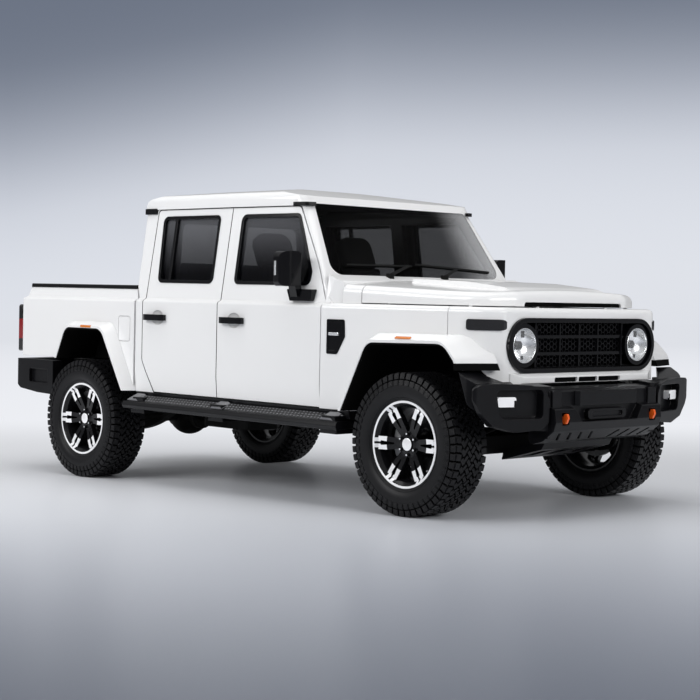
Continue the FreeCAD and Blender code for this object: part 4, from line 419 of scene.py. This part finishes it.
def smooth_group():
    """Modifier that welds a solid's loose triangles and smooths edges below the crease angle."""
    group = bpy.data.node_groups.new("smooth_below_crease", "GeometryNodeTree")
    for way in ("INPUT", "OUTPUT"):
        group.interface.new_socket("Geometry", in_out=way, socket_type="NodeSocketGeometry")
    nodes, links = group.nodes, group.links
    source, target = nodes.new("NodeGroupInput"), nodes.new("NodeGroupOutput")
    weld = nodes.new("GeometryNodeMergeByDistance")
    weld.inputs["Distance"].default_value = WELD_DISTANCE
    faces = nodes.new("GeometryNodeSetShadeSmooth")
    angle = nodes.new("GeometryNodeInputMeshEdgeAngle")
    sharp = nodes.new("FunctionNodeCompare")
    sharp.operation = "GREATER_THAN"
    sharp.inputs["B"].default_value = CREASE_ANGLE
    edges = nodes.new("GeometryNodeSetShadeSmooth")
    edges.domain = "EDGE"
    edges.inputs["Shade Smooth"].default_value = False
    links.new(source.outputs[0], weld.inputs["Geometry"])
    links.new(weld.outputs["Geometry"], faces.inputs["Geometry"])
    links.new(faces.outputs["Geometry"], edges.inputs["Geometry"])
    links.new(angle.outputs["Unsigned Angle"], sharp.inputs["A"])
    links.new(sharp.outputs["Result"], edges.inputs["Selection"])
    links.new(edges.outputs["Geometry"], target.inputs[0])
    return group


smooth_below_crease = smooth_group()
for material, names in NODE_MATERIALS.items():
    for name in names:
        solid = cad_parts[name]
        solid.data.materials.clear()
        solid.data.materials.append(material)
        solid.modifiers.new("smooth", "NODES").node_group = smooth_below_crease


# Shapes of the new pieces

def piece(name, bm, body, slot, *materials):
    """Object from a bmesh drawn in place, riding on a body."""
    mesh = bpy.data.meshes.new(name)
    bm.to_mesh(mesh)
    bm.free()
    made = bpy.data.objects.new(name, mesh)
    bpy.context.scene.collection.objects.link(made)
    for material in materials:
        mesh.materials.append(material)
    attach(made, body)
    return made


def level_piece(name, bm, body, slot, *materials):
    """Piece of the sprung body, drawn level and set down with it."""
    bmesh.ops.transform(bm, matrix=SET_DOWN, verts=bm.verts)
    return piece(name, bm, body, slot, *materials)


SHARP_ANGLE = 1.0


def bevel(bm, edges, offset, segments):
    bmesh.ops.bevel(bm, geom=edges, offset=offset, segments=segments, profile=0.5, affect="EDGES",
                    material=-1)


def edges_of(verts):
    return {edge for vert in verts for edge in vert.link_edges}


def add_box(bm, size, matrix, rounding=0.0, segments=2):
    """Box of a size centred on the matrix's origin."""
    made = bmesh.ops.create_cube(bm, size=1.0, matrix=matrix @ Matrix.Diagonal((*size, 1)))
    if rounding:
        bevel(bm, list(edges_of(made["verts"])), rounding, segments)
    return made["verts"]


def add_box_pair(bm, size, place, rounding=0.0, lean=0.0):
    """The same box on both sides, leaning outwards and down."""
    x, y, z = place
    for side in SIDES:
        add_box(bm, size, at(x, side * y, z) @ turned(-side * lean, "X"), rounding)


def add_disc(bm, radius, depth, matrix, segments, rounding=0.0):
    """Cylinder along the matrix's Z axis, centred on its origin."""
    made = bmesh.ops.create_cone(bm, cap_ends=True, segments=segments, radius1=radius,
                                 radius2=radius, depth=depth, matrix=matrix)
    if rounding:
        sharp = [edge for edge in edges_of(made["verts"]) if edge.calc_face_angle(0) > SHARP_ANGLE]
        bevel(bm, sharp, rounding, 2)


def add_turned(bm, profile, centre, axis, steps):
    """Solid of revolution from a (radius, along) profile about the axis through centre."""
    before = set(bm.verts)
    verts = [bm.verts.new((radius, 0, along)) for radius, along in profile]
    edges = [bm.edges.new(ends) for ends in zip(verts, verts[1:])]
    if profile[0][0] > 0:
        edges.append(bm.edges.new((verts[-1], verts[0])))
    bmesh.ops.spin(bm, geom=verts + edges, cent=(0, 0, 0), axis=(0, 0, 1), angle=math.tau,
                   steps=steps, use_merge=True, use_duplicate=False)
    bmesh.ops.remove_doubles(bm, verts=[v for v in bm.verts if v not in before], dist=1e-5)
    made = [v for v in bm.verts if v not in before]
    bmesh.ops.recalc_face_normals(bm, faces=list({f for v in made for f in v.link_faces}))
    turn = Vector((0, 0, 1)).rotation_difference(Vector(axis)).to_matrix().to_4x4()
    bmesh.ops.transform(bm, matrix=at(*centre) @ turn, verts=made)


def smooth_faces(bm):
    for face in bm.faces:
        face.smooth = True


# Tyres: carcass, and tread blocks in staggered rows

PITCHES = 52
PITCH = math.tau / PITCHES
PITCH_ARC = TYRE_R * PITCH
TREAD_FLOOR_R = TYRE_R - 0.011
GROOVES_FROM_R = 0.3465
CARCASS_STEPS = 96
CARCASS_HALF = (
    (0.2183, 0.0967), (0.232, 0.1025), (0.245, 0.1150), (0.262, 0.1262), (0.285, 0.1315),
    (0.305, TYRE_HALF_W), (0.325, 0.1310), (0.345, 0.1262), (0.362, 0.1185),
    (TREAD_FLOOR_R - 0.003, 0.104), (TREAD_FLOOR_R, 0.085),
)
CARCASS_INSIDE = [(0.2325, 0.08), (0.350, 0.1), (0.350, -0.1), (0.2325, -0.08)]
SIDEWALL_RINGS = ((0.252, 0.1206), (0.335, 0.1292))
SIDEWALL_RING_PROFILE = ((-0.002, -0.004), (-0.001, 0.002), (0.001, 0.002), (0.002, -0.004))
# Of each row: place across, turn in pitches, length in pitches, width, top and foot radius, skew
TREAD_ROWS = (
    (0.0965, 0.0, 0.74, 0.036, TYRE_R - 0.0006, TREAD_FLOOR_R - 0.014, 0.12),
    (0.0625, 0.5, 0.78, 0.0235, TYRE_R, TREAD_FLOOR_R - 0.003, -0.62),
    (0.0385, 0.2, 0.72, 0.0165, TYRE_R, TREAD_FLOOR_R - 0.003, 0.72),
    (0.0135, 0.7, 0.80, 0.0190, TYRE_R, TREAD_FLOOR_R - 0.003, -0.66),
)
# Of each tier of lugs on the shoulder: low and high radius, place across, length in pitches
SHOULDER_TIERS = ((0.352, 0.383, 0.1205, 0.72), (0.317, 0.3465, 0.1275, 0.66))
LUG_T, LUG_EDGE_R, LUG_LEAN = 0.012, 0.0012, 0.2
LUG_CREST_T, LUG_CREST_EDGE_R, LUG_CREST_SHARE = 0.0145, 0.001, 0.5


def add_tread_pitch(bm, angle, hand):
    """One pitch of tread blocks and shoulder lugs on one half. The axle is along Y."""
    for across, turn, length, width, top, foot, skew in TREAD_ROWS:
        place = (turned(angle + turn * PITCH, "Y") @ at(0, hand * across, (top + foot) / 2)
                 @ turned(hand * skew, "Z"))
        add_box(bm, (PITCH_ARC * length, width, top - foot), place)
    for low, high, across, length in SHOULDER_TIERS:
        place = (turned(angle, "Y") @ at(0, hand * across, (low + high) / 2)
                 @ turned(hand * LUG_LEAN, "X"))
        height = high - low
        add_box(bm, (PITCH_ARC * length * high / TYRE_R, LUG_T, height), place, LUG_EDGE_R, 1)
        crest = (PITCH_ARC * length * LUG_CREST_SHARE, LUG_CREST_T, height * LUG_CREST_SHARE)
        add_box(bm, crest, place, LUG_CREST_EDGE_R, 1)


def tyre_bmesh():
    bm = bmesh.new()
    profile = [(radius, -y) for radius, y in CARCASS_HALF] + list(reversed(CARCASS_HALF))
    add_turned(bm, profile + CARCASS_INSIDE, (0, 0, 0), (0, 1, 0), CARCASS_STEPS)
    for ring_r, ring_y in SIDEWALL_RINGS:
        for hand in SIDES:
            ring = [(ring_r + dr, hand * (ring_y + dy)) for dr, dy in SIDEWALL_RING_PROFILE]
            add_turned(bm, ring, (0, 0, 0), (0, 1, 0), CARCASS_STEPS)
    smooth_faces(bm)
    # Carcass faces out at the tread take the darker second material, painted shade in the grooves
    # between the blocks
    for face in bm.faces:
        middle = face.calc_center_median()
        if math.hypot(middle.x, middle.z) > GROOVES_FROM_R:
            face.material_index = 1
    for i in range(PITCHES):
        add_tread_pitch(bm, i * PITCH, -1)
        add_tread_pitch(bm, (i + 0.5) * PITCH, 1)
    return bm


NUTS = 6
NUT_CIRCLE_R = 0.057
# Of the nuts and of their bright ends: place along the axle, radius, depth, corners, rounding
NUT = (0.079, 0.0105, 0.022, 6, 0.0015)
NUT_END = (0.0905, 0.0055, 0.003, 12, 0.0)


def nuts_bmesh(side, y, radius, depth, segments, rounding):
    """A ring of discs at the wheel nuts' places."""
    bm = bmesh.new()
    for i in range(NUTS):
        turn = math.tau * (i + 0.5) / NUTS
        spot = at(NUT_CIRCLE_R * math.cos(turn), side * y, NUT_CIRCLE_R * math.sin(turn))
        add_disc(bm, radius, depth, spot @ turned(math.pi / 2, "X"), segments, rounding)
    return bm


for place, axle_x in AXLES:
    for hand, side in HANDS:
        corner = f"{place}_{hand}"
        tread = tyre_bmesh()
        nuts = nuts_bmesh(side, *NUT)
        ends = nuts_bmesh(side, *NUT_END)
        for bm in (tread, nuts, ends):
            bmesh.ops.transform(bm, matrix=at(axle_x, side * WHEEL_Y, TYRE_R), verts=bm.verts)
        body = f"wheel_{corner}"
        tyre = piece(f"tread_{corner}", tread, body, "tyre", tyre_rubber, painted_groove_shade)
        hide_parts(f"tyre_{place}_{hand}")
        piece(f"wheel_nuts_{corner}", nuts, body, "bare_metal", chassis_black)
        piece(f"wheel_nut_ends_{corner}", ends, body, "bare_metal", bright_metal)


# Grille: honeycomb behind the bars, and ribs between its panels

CELL_R = 0.0178
CELL_OUTLINES = (CELL_R + 0.0002, CELL_R - 0.0032)
HONEYCOMB_X, HONEYCOMB_T = NOSE_X - 0.0595, 0.014
HONEYCOMB_HALF_Y, HONEYCOMB_HALF_Z = 0.39, 0.115
HONEYCOMB_LOWEST_Z, HONEYCOMB_FIELD_H = GRILLE_Z - 0.118, 0.25
HONEYCOMB_MIDDLE_HALF_Y, HONEYCOMB_MIDDLE_HALF_Z = 0.375, 0.1
BAR_OFFSET_Z, BAR_HALF_H = 0.046, 0.012
DIVIDER_SIZE = (0.026, 0.012, 0.236)
DIVIDER_X, DIVIDER_PLACES_Y = NOSE_X - 0.048, (-0.168, 0.0, 0.168)
CHEEK_SIZE, CHEEK_PLACE = (0.03, 0.012, 0.24), (NOSE_X - 0.046, 0.382, GRILLE_Z)
RIB_EDGE_R = 0.002


def honeycomb():
    bm = bmesh.new()
    step_y, step_z = CELL_R * 1.5, CELL_R * math.sqrt(3)
    for column in range(int(2 * HONEYCOMB_HALF_Y / step_y) + 1):
        y = -HONEYCOMB_HALF_Y + column * step_y
        for row in range(int(HONEYCOMB_FIELD_H / step_z) + 1):
            z = HONEYCOMB_LOWEST_Z + (row + 0.5 * (column % 2)) * step_z
            from_middle = abs(z - GRILLE_Z)
            in_middle = from_middle <= HONEYCOMB_MIDDLE_HALF_Z
            reach = HONEYCOMB_MIDDLE_HALF_Y if in_middle else HONEYCOMB_HALF_Y
            behind_bar = abs(from_middle - BAR_OFFSET_Z) < BAR_HALF_H
            if abs(y) > reach or from_middle > HONEYCOMB_HALF_Z or behind_bar:
                continue
            edges = []
            for radius in CELL_OUTLINES:
                ring = bmesh.ops.create_circle(
                    bm, cap_ends=False, segments=6, radius=radius,
                    matrix=at(HONEYCOMB_X, y, z) @ turned(math.pi / 2, "Y"))["verts"]
                edges += edges_of(ring)
            bmesh.ops.bridge_loops(bm, edges=edges)
    raised = bmesh.ops.extrude_face_region(bm, geom=list(bm.faces))
    verts = [made for made in raised["geom"] if isinstance(made, bmesh.types.BMVert)]
    bmesh.ops.translate(bm, vec=(HONEYCOMB_T, 0, 0), verts=verts)
    bmesh.ops.recalc_face_normals(bm, faces=bm.faces)
    level_piece("grille_honeycomb", bm, "chassis", "gloss_black", mesh_black)


def grille_dividers():
    """Upright ribs between the honeycomb panels, and the plain cheeks beside them."""
    bm = bmesh.new()
    for y in DIVIDER_PLACES_Y:
        add_box(bm, DIVIDER_SIZE, at(DIVIDER_X, y, GRILLE_Z), RIB_EDGE_R)
    add_box_pair(bm, CHEEK_SIZE, CHEEK_PLACE, RIB_EDGE_R)
    level_piece("grille_dividers", bm, "chassis", "gloss_black", mesh_black)


# Headlamps: profiles of (radius, distance ahead of the lamp's back or of the lens's rim)

LAMP_STEPS = 64
LAMP_BACK_X = NOSE_X - 0.0715
LENS_RIM_X = NOSE_X - 0.0117
LAMP_BOWL = (
    (0.0, 0.003), (0.030, 0.004), (0.058, 0.014), (0.078, 0.032), (0.0885, 0.054),
    (0.0905, 0.0585), (0.0925, 0.0585), (0.0905, 0.052), (0.080, 0.029), (0.059, 0.010),
    (0.030, 0.0005), (0.0, 0.0005),
)
LAMP_RIM = ((0.0895, 0.0595), (0.0945, 0.0595), (0.0945, 0.0635), (0.0915, 0.0655),
            (0.0895, 0.0635))
BULB_SHROUD = ((0.0, 0.031), (0.019, 0.031), (0.023, 0.027), (0.023, 0.004), (0.0, 0.004))
# Of each blade over and under the bulb: size, distance ahead of the lamp's back, height
BULB_BLADES = (((0.012, 0.020, 0.036), 0.046, 0.060), ((0.010, 0.014, 0.022), 0.044, -0.066))
BLADE_EDGE_R = 0.003
LENS_DOME = (
    (0.0, 0.018), (0.03, 0.0163), (0.06, 0.0108), (0.082, 0.0045), (0.0935, 0.0),
    (0.0925, -0.002), (0.081, 0.002), (0.059, 0.0085), (0.03, 0.0138), (0.0, 0.0155),
)


def headlamp_inside():
    """Deep bowls with a bright rim, a dark bulb shroud at the back and dark blades."""
    bowls, dark = bmesh.new(), bmesh.new()
    for side in SIDES:
        centre = (LAMP_BACK_X, side * HEADLAMP_Y, GRILLE_Z)
        add_turned(bowls, LAMP_BOWL, centre, (1, 0, 0), LAMP_STEPS)
        add_turned(bowls, LAMP_RIM, centre, (1, 0, 0), LAMP_STEPS)
        add_turned(dark, BULB_SHROUD, centre, (1, 0, 0), LAMP_STEPS // 2)
    for size, ahead, up in BULB_BLADES:
        place = (LAMP_BACK_X + ahead, HEADLAMP_Y, GRILLE_Z + up)
        add_box_pair(dark, size, place, BLADE_EDGE_R)
    smooth_faces(bowls)
    smooth_faces(dark)
    level_piece("headlamp_reflectors", bowls, "chassis", "bare_metal", reflector)
    level_piece("headlamp_shrouds", dark, "chassis", "gloss_black", gloss_black)


def lens_caps():
    """Thin domed lenses that stand for the solid lamps."""
    bm = bmesh.new()
    for side in SIDES:
        add_turned(bm, LENS_DOME, (LENS_RIM_X, side * HEADLAMP_Y, GRILLE_Z), (1, 0, 0), LAMP_STEPS)
    smooth_faces(bm)
    lens = level_piece("headlamp_lenses", bm, "chassis", "lamp_lens", clear_lens)
    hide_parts("headlamps")


# Trim on the flanks

FRONT_MARKER_SIZE, FRONT_MARKER_LEAN = (0.112, 0.020, 0.008), 0.52
FRONT_MARKER_PLACE = (FRONT_AXLE_X, 0.934, 0.9945)
REAR_MARKER_SIZE = (0.112, 0.012, 0.016)
REAR_MARKER_PLACE = (REAR_AXLE_X + 0.077, 0.9435, 0.973)
MARKER_EDGE_R = 0.003
VENT_BAR_SIZE, VENT_BAR_PLACE = (0.078, 0.012, 0.018), (0.990, 0.8648, 0.9955)
VENT_BAR_EDGE_R = 0.004


def marker_lamps():
    """Amber lamps on the slope of the front flares and the face of the rear ones."""
    bm = bmesh.new()
    add_box_pair(bm, FRONT_MARKER_SIZE, FRONT_MARKER_PLACE, MARKER_EDGE_R, FRONT_MARKER_LEAN)
    add_box_pair(bm, REAR_MARKER_SIZE, REAR_MARKER_PLACE, MARKER_EDGE_R)
    level_piece("marker_lamps", bm, "chassis", "hook_orange", amber_lens)


def vent_bars():
    bm = bmesh.new()
    add_box_pair(bm, VENT_BAR_SIZE, VENT_BAR_PLACE, VENT_BAR_EDGE_R)
    level_piece("vent_bars", bm, "chassis", "bare_metal", bright_metal)


STEP_MIDDLE_X, STEP_Y, STEP_Z = 0.125, 0.906, 0.5300
STEP_LEAN = 0.435
PLATE_SIZE, PLATE_EDGE_R = (1.90, 0.088, 0.004), 0.001
STEP_STATIONS = (-0.775, 0.057, 1.02)
STUD_ROWS = (-0.026, 0.0, 0.026)
STUDS, STUD_PITCH, FIRST_STUD_X = 62, 0.029, -0.90
STUD_R, STUD_H, STUD_Z, STUD_CORNERS = 0.006, 0.003, 0.0033, 8
BRACKET_END_SIZE = (0.125, 0.082, 0.018)
BRACKET_END_Z, BRACKET_END_LEAN, BRACKET_END_TAPER = 0.5335, 0.40, 0.42


def step_treads():
    """Studded plates that slope down over both step boards, and their brackets' cast ends."""
    studs, plates, ends = bmesh.new(), bmesh.new(), bmesh.new()
    for side in SIDES:
        slope = at(STEP_MIDDLE_X, side * STEP_Y, STEP_Z) @ turned(-side * STEP_LEAN, "X")
        add_box(plates, PLATE_SIZE, slope, PLATE_EDGE_R, 1)
        for row in STUD_ROWS:
            for i in range(STUDS):
                x = FIRST_STUD_X + (i + (0.5 if row else 0.0)) * STUD_PITCH
                add_disc(studs, STUD_R, STUD_H, slope @ at(x, row, STUD_Z), STUD_CORNERS)
        for x in STEP_STATIONS:
            base = at(x, side * STEP_Y, BRACKET_END_Z) @ turned(-side * BRACKET_END_LEAN, "X")
            for vert in add_box(ends, BRACKET_END_SIZE, base):
                if (base.inverted() @ vert.co).z > 0:
                    vert.co.x += (x - vert.co.x) * BRACKET_END_TAPER
    level_piece("step_studs", studs, "chassis", "black_plastic", step_metal)
    level_piece("step_plates", plates, "chassis", "black_plastic", grained_black)
    level_piece("step_bracket_ends", ends, "chassis", "black_plastic", step_metal)


# Cabin

HEADREST_SIZE = (0.105, 0.275, 0.245)
HEADREST_CORNER_R, HEADREST_RIM_R = 0.075, 0.035
HEADREST_X, HEADREST_Z, HEADREST_LEAN = -0.100, 1.470, 0.4
SEAT_MIDDLE_Y = 0.36
POST_R, POST_LENGTH, POST_CORNERS = 0.007, 0.16, 12
POST_X, POST_Z, POST_GAPS = -0.025, 1.26, (-0.06, 0.06)
ALONG, RIM_ANGLE = 0.9, 1.2


def headrests():
    """Padded front headrests, taller than the seats' own cores, with their posts."""
    pads, posts = bmesh.new(), bmesh.new()
    for side in SIDES:
        lean = at(HEADREST_X, side * SEAT_MIDDLE_Y, HEADREST_Z) @ turned(-HEADREST_LEAN, "Y")
        through = lean.to_3x3() @ Vector((1, 0, 0))
        corners = [edge for edge in edges_of(add_box(pads, HEADREST_SIZE, lean))
                   if abs((edge.verts[0].co - edge.verts[1].co).normalized() @ through) > ALONG]
        bevel(pads, corners, HEADREST_CORNER_R, 6)
        for gap in POST_GAPS:
            place = at(POST_X, side * SEAT_MIDDLE_Y + gap, POST_Z)
            add_disc(posts, POST_R, POST_LENGTH, place, POST_CORNERS)
    rims = [edge for edge in pads.edges if edge.calc_face_angle(0) > RIM_ANGLE]
    bevel(pads, rims, HEADREST_RIM_R, 4)
    smooth_faces(pads)
    level_piece("headrest_pads", pads, "chassis", "seat_fabric", seat_cloth)
    level_piece("headrest_posts", posts, "chassis", "seat_fabric", chassis_black)


# Nose, mirrors and slots

SHIELD_SIZE, SHIELD_PLACE = (0.006, 0.90, 0.10), (FRONT_AXLE_X + 0.145, 0, 0.405)
SHIELD_EDGE_R = 0.002
MIRROR_FACE_SIZE, MIRROR_FACE_EDGE_R = (0.003, 0.112, 0.155), 0.001
MIRROR_FACE_X, MIRROR_FACE_Y, MIRROR_FACE_Z = 0.6085, 0.909, 1.3615
MIRROR_LAMP_SIZE, MIRROR_LAMP_EDGE_R = (0.014, 0.006, 0.082), 0.002
MIRROR_LAMP_X, MIRROR_LAMP_Y, MIRROR_LAMP_Z = 0.619, 0.985, 1.362
LAMP_RIB_SIZE, LAMP_RIB_EDGE_R = (0.010, 0.011, 0.036), 0.002
LAMP_RIB_X, LAMP_RIB_Y, LAMP_RIB_Z = 2.180, 0.686, 0.668
BUMPER_WING_ANGLE = math.radians(15)
HOOD_SLOT_SIZE, HOOD_SLOT_PLACE = (0.027, 0.856, 0.0225), (1.9885, 0, 1.1857)
NOSE_SLOT_X, NOSE_SLOT_Z = 2.0905, 0.782
NOSE_SLOT_DEPTH, NOSE_SLOT_H = 0.038, 0.0255
# Of each slot under the grille: its middle and its width
NOSE_SLOTS = ((-0.192, 0.195), (0, 0.163), (0.192, 0.195))


def axle_shield():
    """Dark panel behind the skid plate, in front of the axle."""
    bm = bmesh.new()
    add_box(bm, SHIELD_SIZE, at(*SHIELD_PLACE), SHIELD_EDGE_R, 1)
    level_piece("axle_shield", bm, "chassis", "dark_metal", chassis_black)


def mirror_faces():
    for hand, side in HANDS:
        bm = bmesh.new()
        place = at(MIRROR_FACE_X, side * MIRROR_FACE_Y, MIRROR_FACE_Z)
        add_box(bm, MIRROR_FACE_SIZE, place, MIRROR_FACE_EDGE_R)
        level_piece(f"mirror_face_{hand}", bm, f"door_front_{hand}", "bare_metal", reflector)


def lamp_dividers():
    """Upright ribs that part the fog lamps' lenses, turned with the bumper's wings."""
    bm = bmesh.new()
    for side in SIDES:
        place = at(LAMP_RIB_X, side * LAMP_RIB_Y, LAMP_RIB_Z)
        wing = turned(side * BUMPER_WING_ANGLE, "Z")
        add_box(bm, LAMP_RIB_SIZE, place @ wing, LAMP_RIB_EDGE_R)
    level_piece("lamp_dividers", bm, "chassis", "gloss_black", gloss_black)


def mirror_lamps():
    for hand, side in HANDS:
        bm = bmesh.new()
        place = at(MIRROR_LAMP_X, side * MIRROR_LAMP_Y, MIRROR_LAMP_Z)
        add_box(bm, MIRROR_LAMP_SIZE, place, MIRROR_LAMP_EDGE_R)
        level_piece(f"mirror_lamp_{hand}", bm, f"door_front_{hand}", "lamp_lens", bright_metal)


def dark_slots():
    """Black backs of the hood's front slot and of the three slots under the grille."""
    bm = bmesh.new()
    add_box(bm, HOOD_SLOT_SIZE, at(*HOOD_SLOT_PLACE))
    level_piece("hood_slot_back", bm, "hood", "gloss_black", liner_black)
    bm = bmesh.new()
    for y, width in NOSE_SLOTS:
        add_box(bm, (NOSE_SLOT_DEPTH, width, NOSE_SLOT_H), at(NOSE_SLOT_X, y, NOSE_SLOT_Z))
    level_piece("nose_slot_backs", bm, "chassis", "gloss_black", liner_black)


for make in (honeycomb, grille_dividers, headlamp_inside, lens_caps, marker_lamps, vent_bars,
             step_treads, headrests, axle_shield, mirror_faces, lamp_dividers, mirror_lamps,
             dark_slots):
    make()


# Floor, light and camera

VIEW_X, VIEW_Y, VIEW_Z = 7.769, -7.313, 1.0616
VIEW_YAW, VIEW_PITCH, VIEW_ROLL = (math.radians(angle) for angle in (135.827, 1.085, 0.366))
LENS_MM, SENSOR_MM = 85.41, 36
FLOOR_SIZE = 400
HORIZON = (0.73, 0.75, 0.80)
# The floor's colour, painted darker towards the viewer's place as painted shade, and its glow, by
# distance from the viewer's place
FLOOR_RAMP_PER_M, HAZE_RAMP_PER_M = 0.05, 0.0125
FLOOR_COLORS_WITH_PAINTED_SHADE = ((0.22, (0.07, 0.085, 0.12)), (0.33, (0.34, 0.36, 0.41)),
                (0.45, (0.74, 0.76, 0.80)), (0.60, (0.90, 0.91, 0.94)),
                (0.75, (0.92, 0.93, 0.96)))
HAZE_COLORS = ((0.15, (0.85, 0.865, 0.90)), (0.35, (0.83, 0.845, 0.89)), (0.8, HORIZON))
GLOW_FROM, GLOW_FULL = 11.2, 17.5
# What the camera sees behind, graded with painted shade darker upwards and to the left, and the
# dome that lights the model, by height
BACKDROP_PER_HEIGHT = 4.0
BACKDROP_COLORS = ((0.0, HORIZON), (0.16, (0.75, 0.775, 0.83)), (0.40, (0.66, 0.69, 0.76)),
                   (0.57, (0.36, 0.39, 0.46)), (0.75, (0.15, 0.175, 0.23)))
LEFTWARD = (-0.697, -0.717, 0)
LEFT_REACH, LEFT_DARKENING = 0.2, 0.17
DOME_COLORS = ((0.0, (0.16, 0.165, 0.18)), (0.2, (0.30, 0.305, 0.32)), (0.5, (0.75, 0.76, 0.78)),
               (1.0, (0.95, 0.96, 0.98)))
DOME_STRENGTH = 0.62
# Of each soft light: name, place, what it points at, width, height and power
SOFTBOXES = (
    ("overhead", (0.0, -0.5, 6.5), (0, 0, 0), 7, 5, 175),
    ("flank", (-2.0, -8.0, 4.5), (-0.5, 0, 0.9), 7, 3, 395),
    ("nose", (9.0, -1.0, 3.6), (1, 0, 0.8), 4, 3, 285),
)


def camera_rays(owner):
    return node(owner, "ShaderNodeLightPath").outputs["Is Camera Ray"]


def mixed_output(owner, kind, factor, first, second):
    """Output node that shows first where factor is 0 and second where it is 1."""
    mix = node(owner, "ShaderNodeMixShader")
    for socket, source in zip(mix.inputs, (factor, first, second)):
        link(owner, source, socket)
    link(owner, mix.outputs[0], owner.node_tree.nodes[kind].inputs["Surface"])


def floor_material():
    """Pale floor with painted shade, dim close to the viewer's place, melting into the backdrop far
    from it.
    """
    material = shader("pale_floor", (0.8, 0.8, 0.8), 0.3, specular=0.35)
    reach = vector_node(material, "DISTANCE", object_place(material), (VIEW_X, VIEW_Y, 0))["Value"]
    # Base colour by distance: painted shade, dark near the viewer's place and pale far from it
    color = color_ramp(material, product(material, reach, FLOOR_RAMP_PER_M), FLOOR_COLORS_WITH_PAINTED_SHADE)
    into_shader(material, color, "Base Color")
    far = map_range(material, reach, GLOW_FROM, GLOW_FULL)
    glow = node(material, "ShaderNodeEmission")
    haze = color_ramp(material, product(material, reach, HAZE_RAMP_PER_M), HAZE_COLORS)
    link(material, haze, glow.inputs["Color"])
    mixed_output(material, "Material Output", product(material, far, camera_rays(material)),
                 material.node_tree.nodes["Principled BSDF"].outputs[0], glow.outputs[0])
    return material


def floor_plane():
    """Floor, large enough to reach the horizon."""
    bm = bmesh.new()
    bmesh.ops.create_grid(bm, x_segments=1, y_segments=1, size=FLOOR_SIZE)
    mesh = bpy.data.meshes.new("floor")
    bm.to_mesh(mesh)
    bm.free()
    floor = bpy.data.objects.new("floor", mesh)
    mesh.materials.append(floor_material())
    bpy.context.scene.collection.objects.link(floor)


def studio():
    """Soft dome for the light, and a backdrop for the camera with painted shade, darker upwards and
    to the left.
    """
    world = bpy.data.worlds.new("studio")
    world.use_nodes = True
    bpy.context.scene.world = world
    place = node(world, "ShaderNodeTexCoord").outputs["Generated"]
    height = separated(world, place)["Z"]
    # Darker to the left: painted shade on the backdrop
    leftward = vector_node(world, "DOT_PRODUCT", place, LEFTWARD)["Value"]
    aside = map_range(world, leftward, 0.0, LEFT_REACH, "LINEAR", LEFT_DARKENING)
    scaled = math_node(world, "MULTIPLY_ADD", height, BACKDROP_PER_HEIGHT, aside)
    background = world.node_tree.nodes["Background"]
    background.inputs["Strength"].default_value = DOME_STRENGTH
    link(world, color_ramp(world, height, DOME_COLORS), background.inputs["Color"])
    seen = node(world, "ShaderNodeBackground")
    link(world, color_ramp(world, scaled, BACKDROP_COLORS), seen.inputs["Color"])
    mixed_output(world, "World Output", camera_rays(world), background.outputs[0], seen.outputs[0])


def softbox(name, place, target, size_x, size_y, power):
    lamp = bpy.data.lights.new(name, "AREA")
    lamp.shape = "RECTANGLE"
    lamp.size, lamp.size_y = size_x, size_y
    lamp.energy = power
    made = bpy.data.objects.new(name, lamp)
    bpy.context.scene.collection.objects.link(made)
    aim = Vector(target) - Vector(place)
    made.rotation_mode = "QUATERNION"
    made.rotation_quaternion = aim.to_track_quat("-Z", "Y")
    made.location = place


def camera():
    """Camera at the photograph's place, rolled a little, with a long lens."""
    level = math.cos(VIEW_PITCH)
    forward = Vector((math.cos(VIEW_YAW) * level, math.sin(VIEW_YAW) * level,
                      -math.sin(VIEW_PITCH)))
    level_right = Vector((math.sin(VIEW_YAW), -math.cos(VIEW_YAW), 0))
    level_up = level_right.cross(forward)
    right = math.cos(VIEW_ROLL) * level_right + math.sin(VIEW_ROLL) * level_up
    up = -math.sin(VIEW_ROLL) * level_right + math.cos(VIEW_ROLL) * level_up
    data = bpy.data.cameras.new("camera")
    data.sensor_width = SENSOR_MM
    data.lens = LENS_MM
    made = bpy.data.objects.new("camera", data)
    bpy.context.scene.collection.objects.link(made)
    made.matrix_world = (at(VIEW_X, VIEW_Y, VIEW_Z)
                         @ Matrix((right, up, -forward)).transposed().to_4x4())
    bpy.context.scene.camera = made


floor_plane()
studio()
for box_light in SOFTBOXES:
    softbox(*box_light)
camera()
bpy.context.scene.view_settings.view_transform = "Standard"
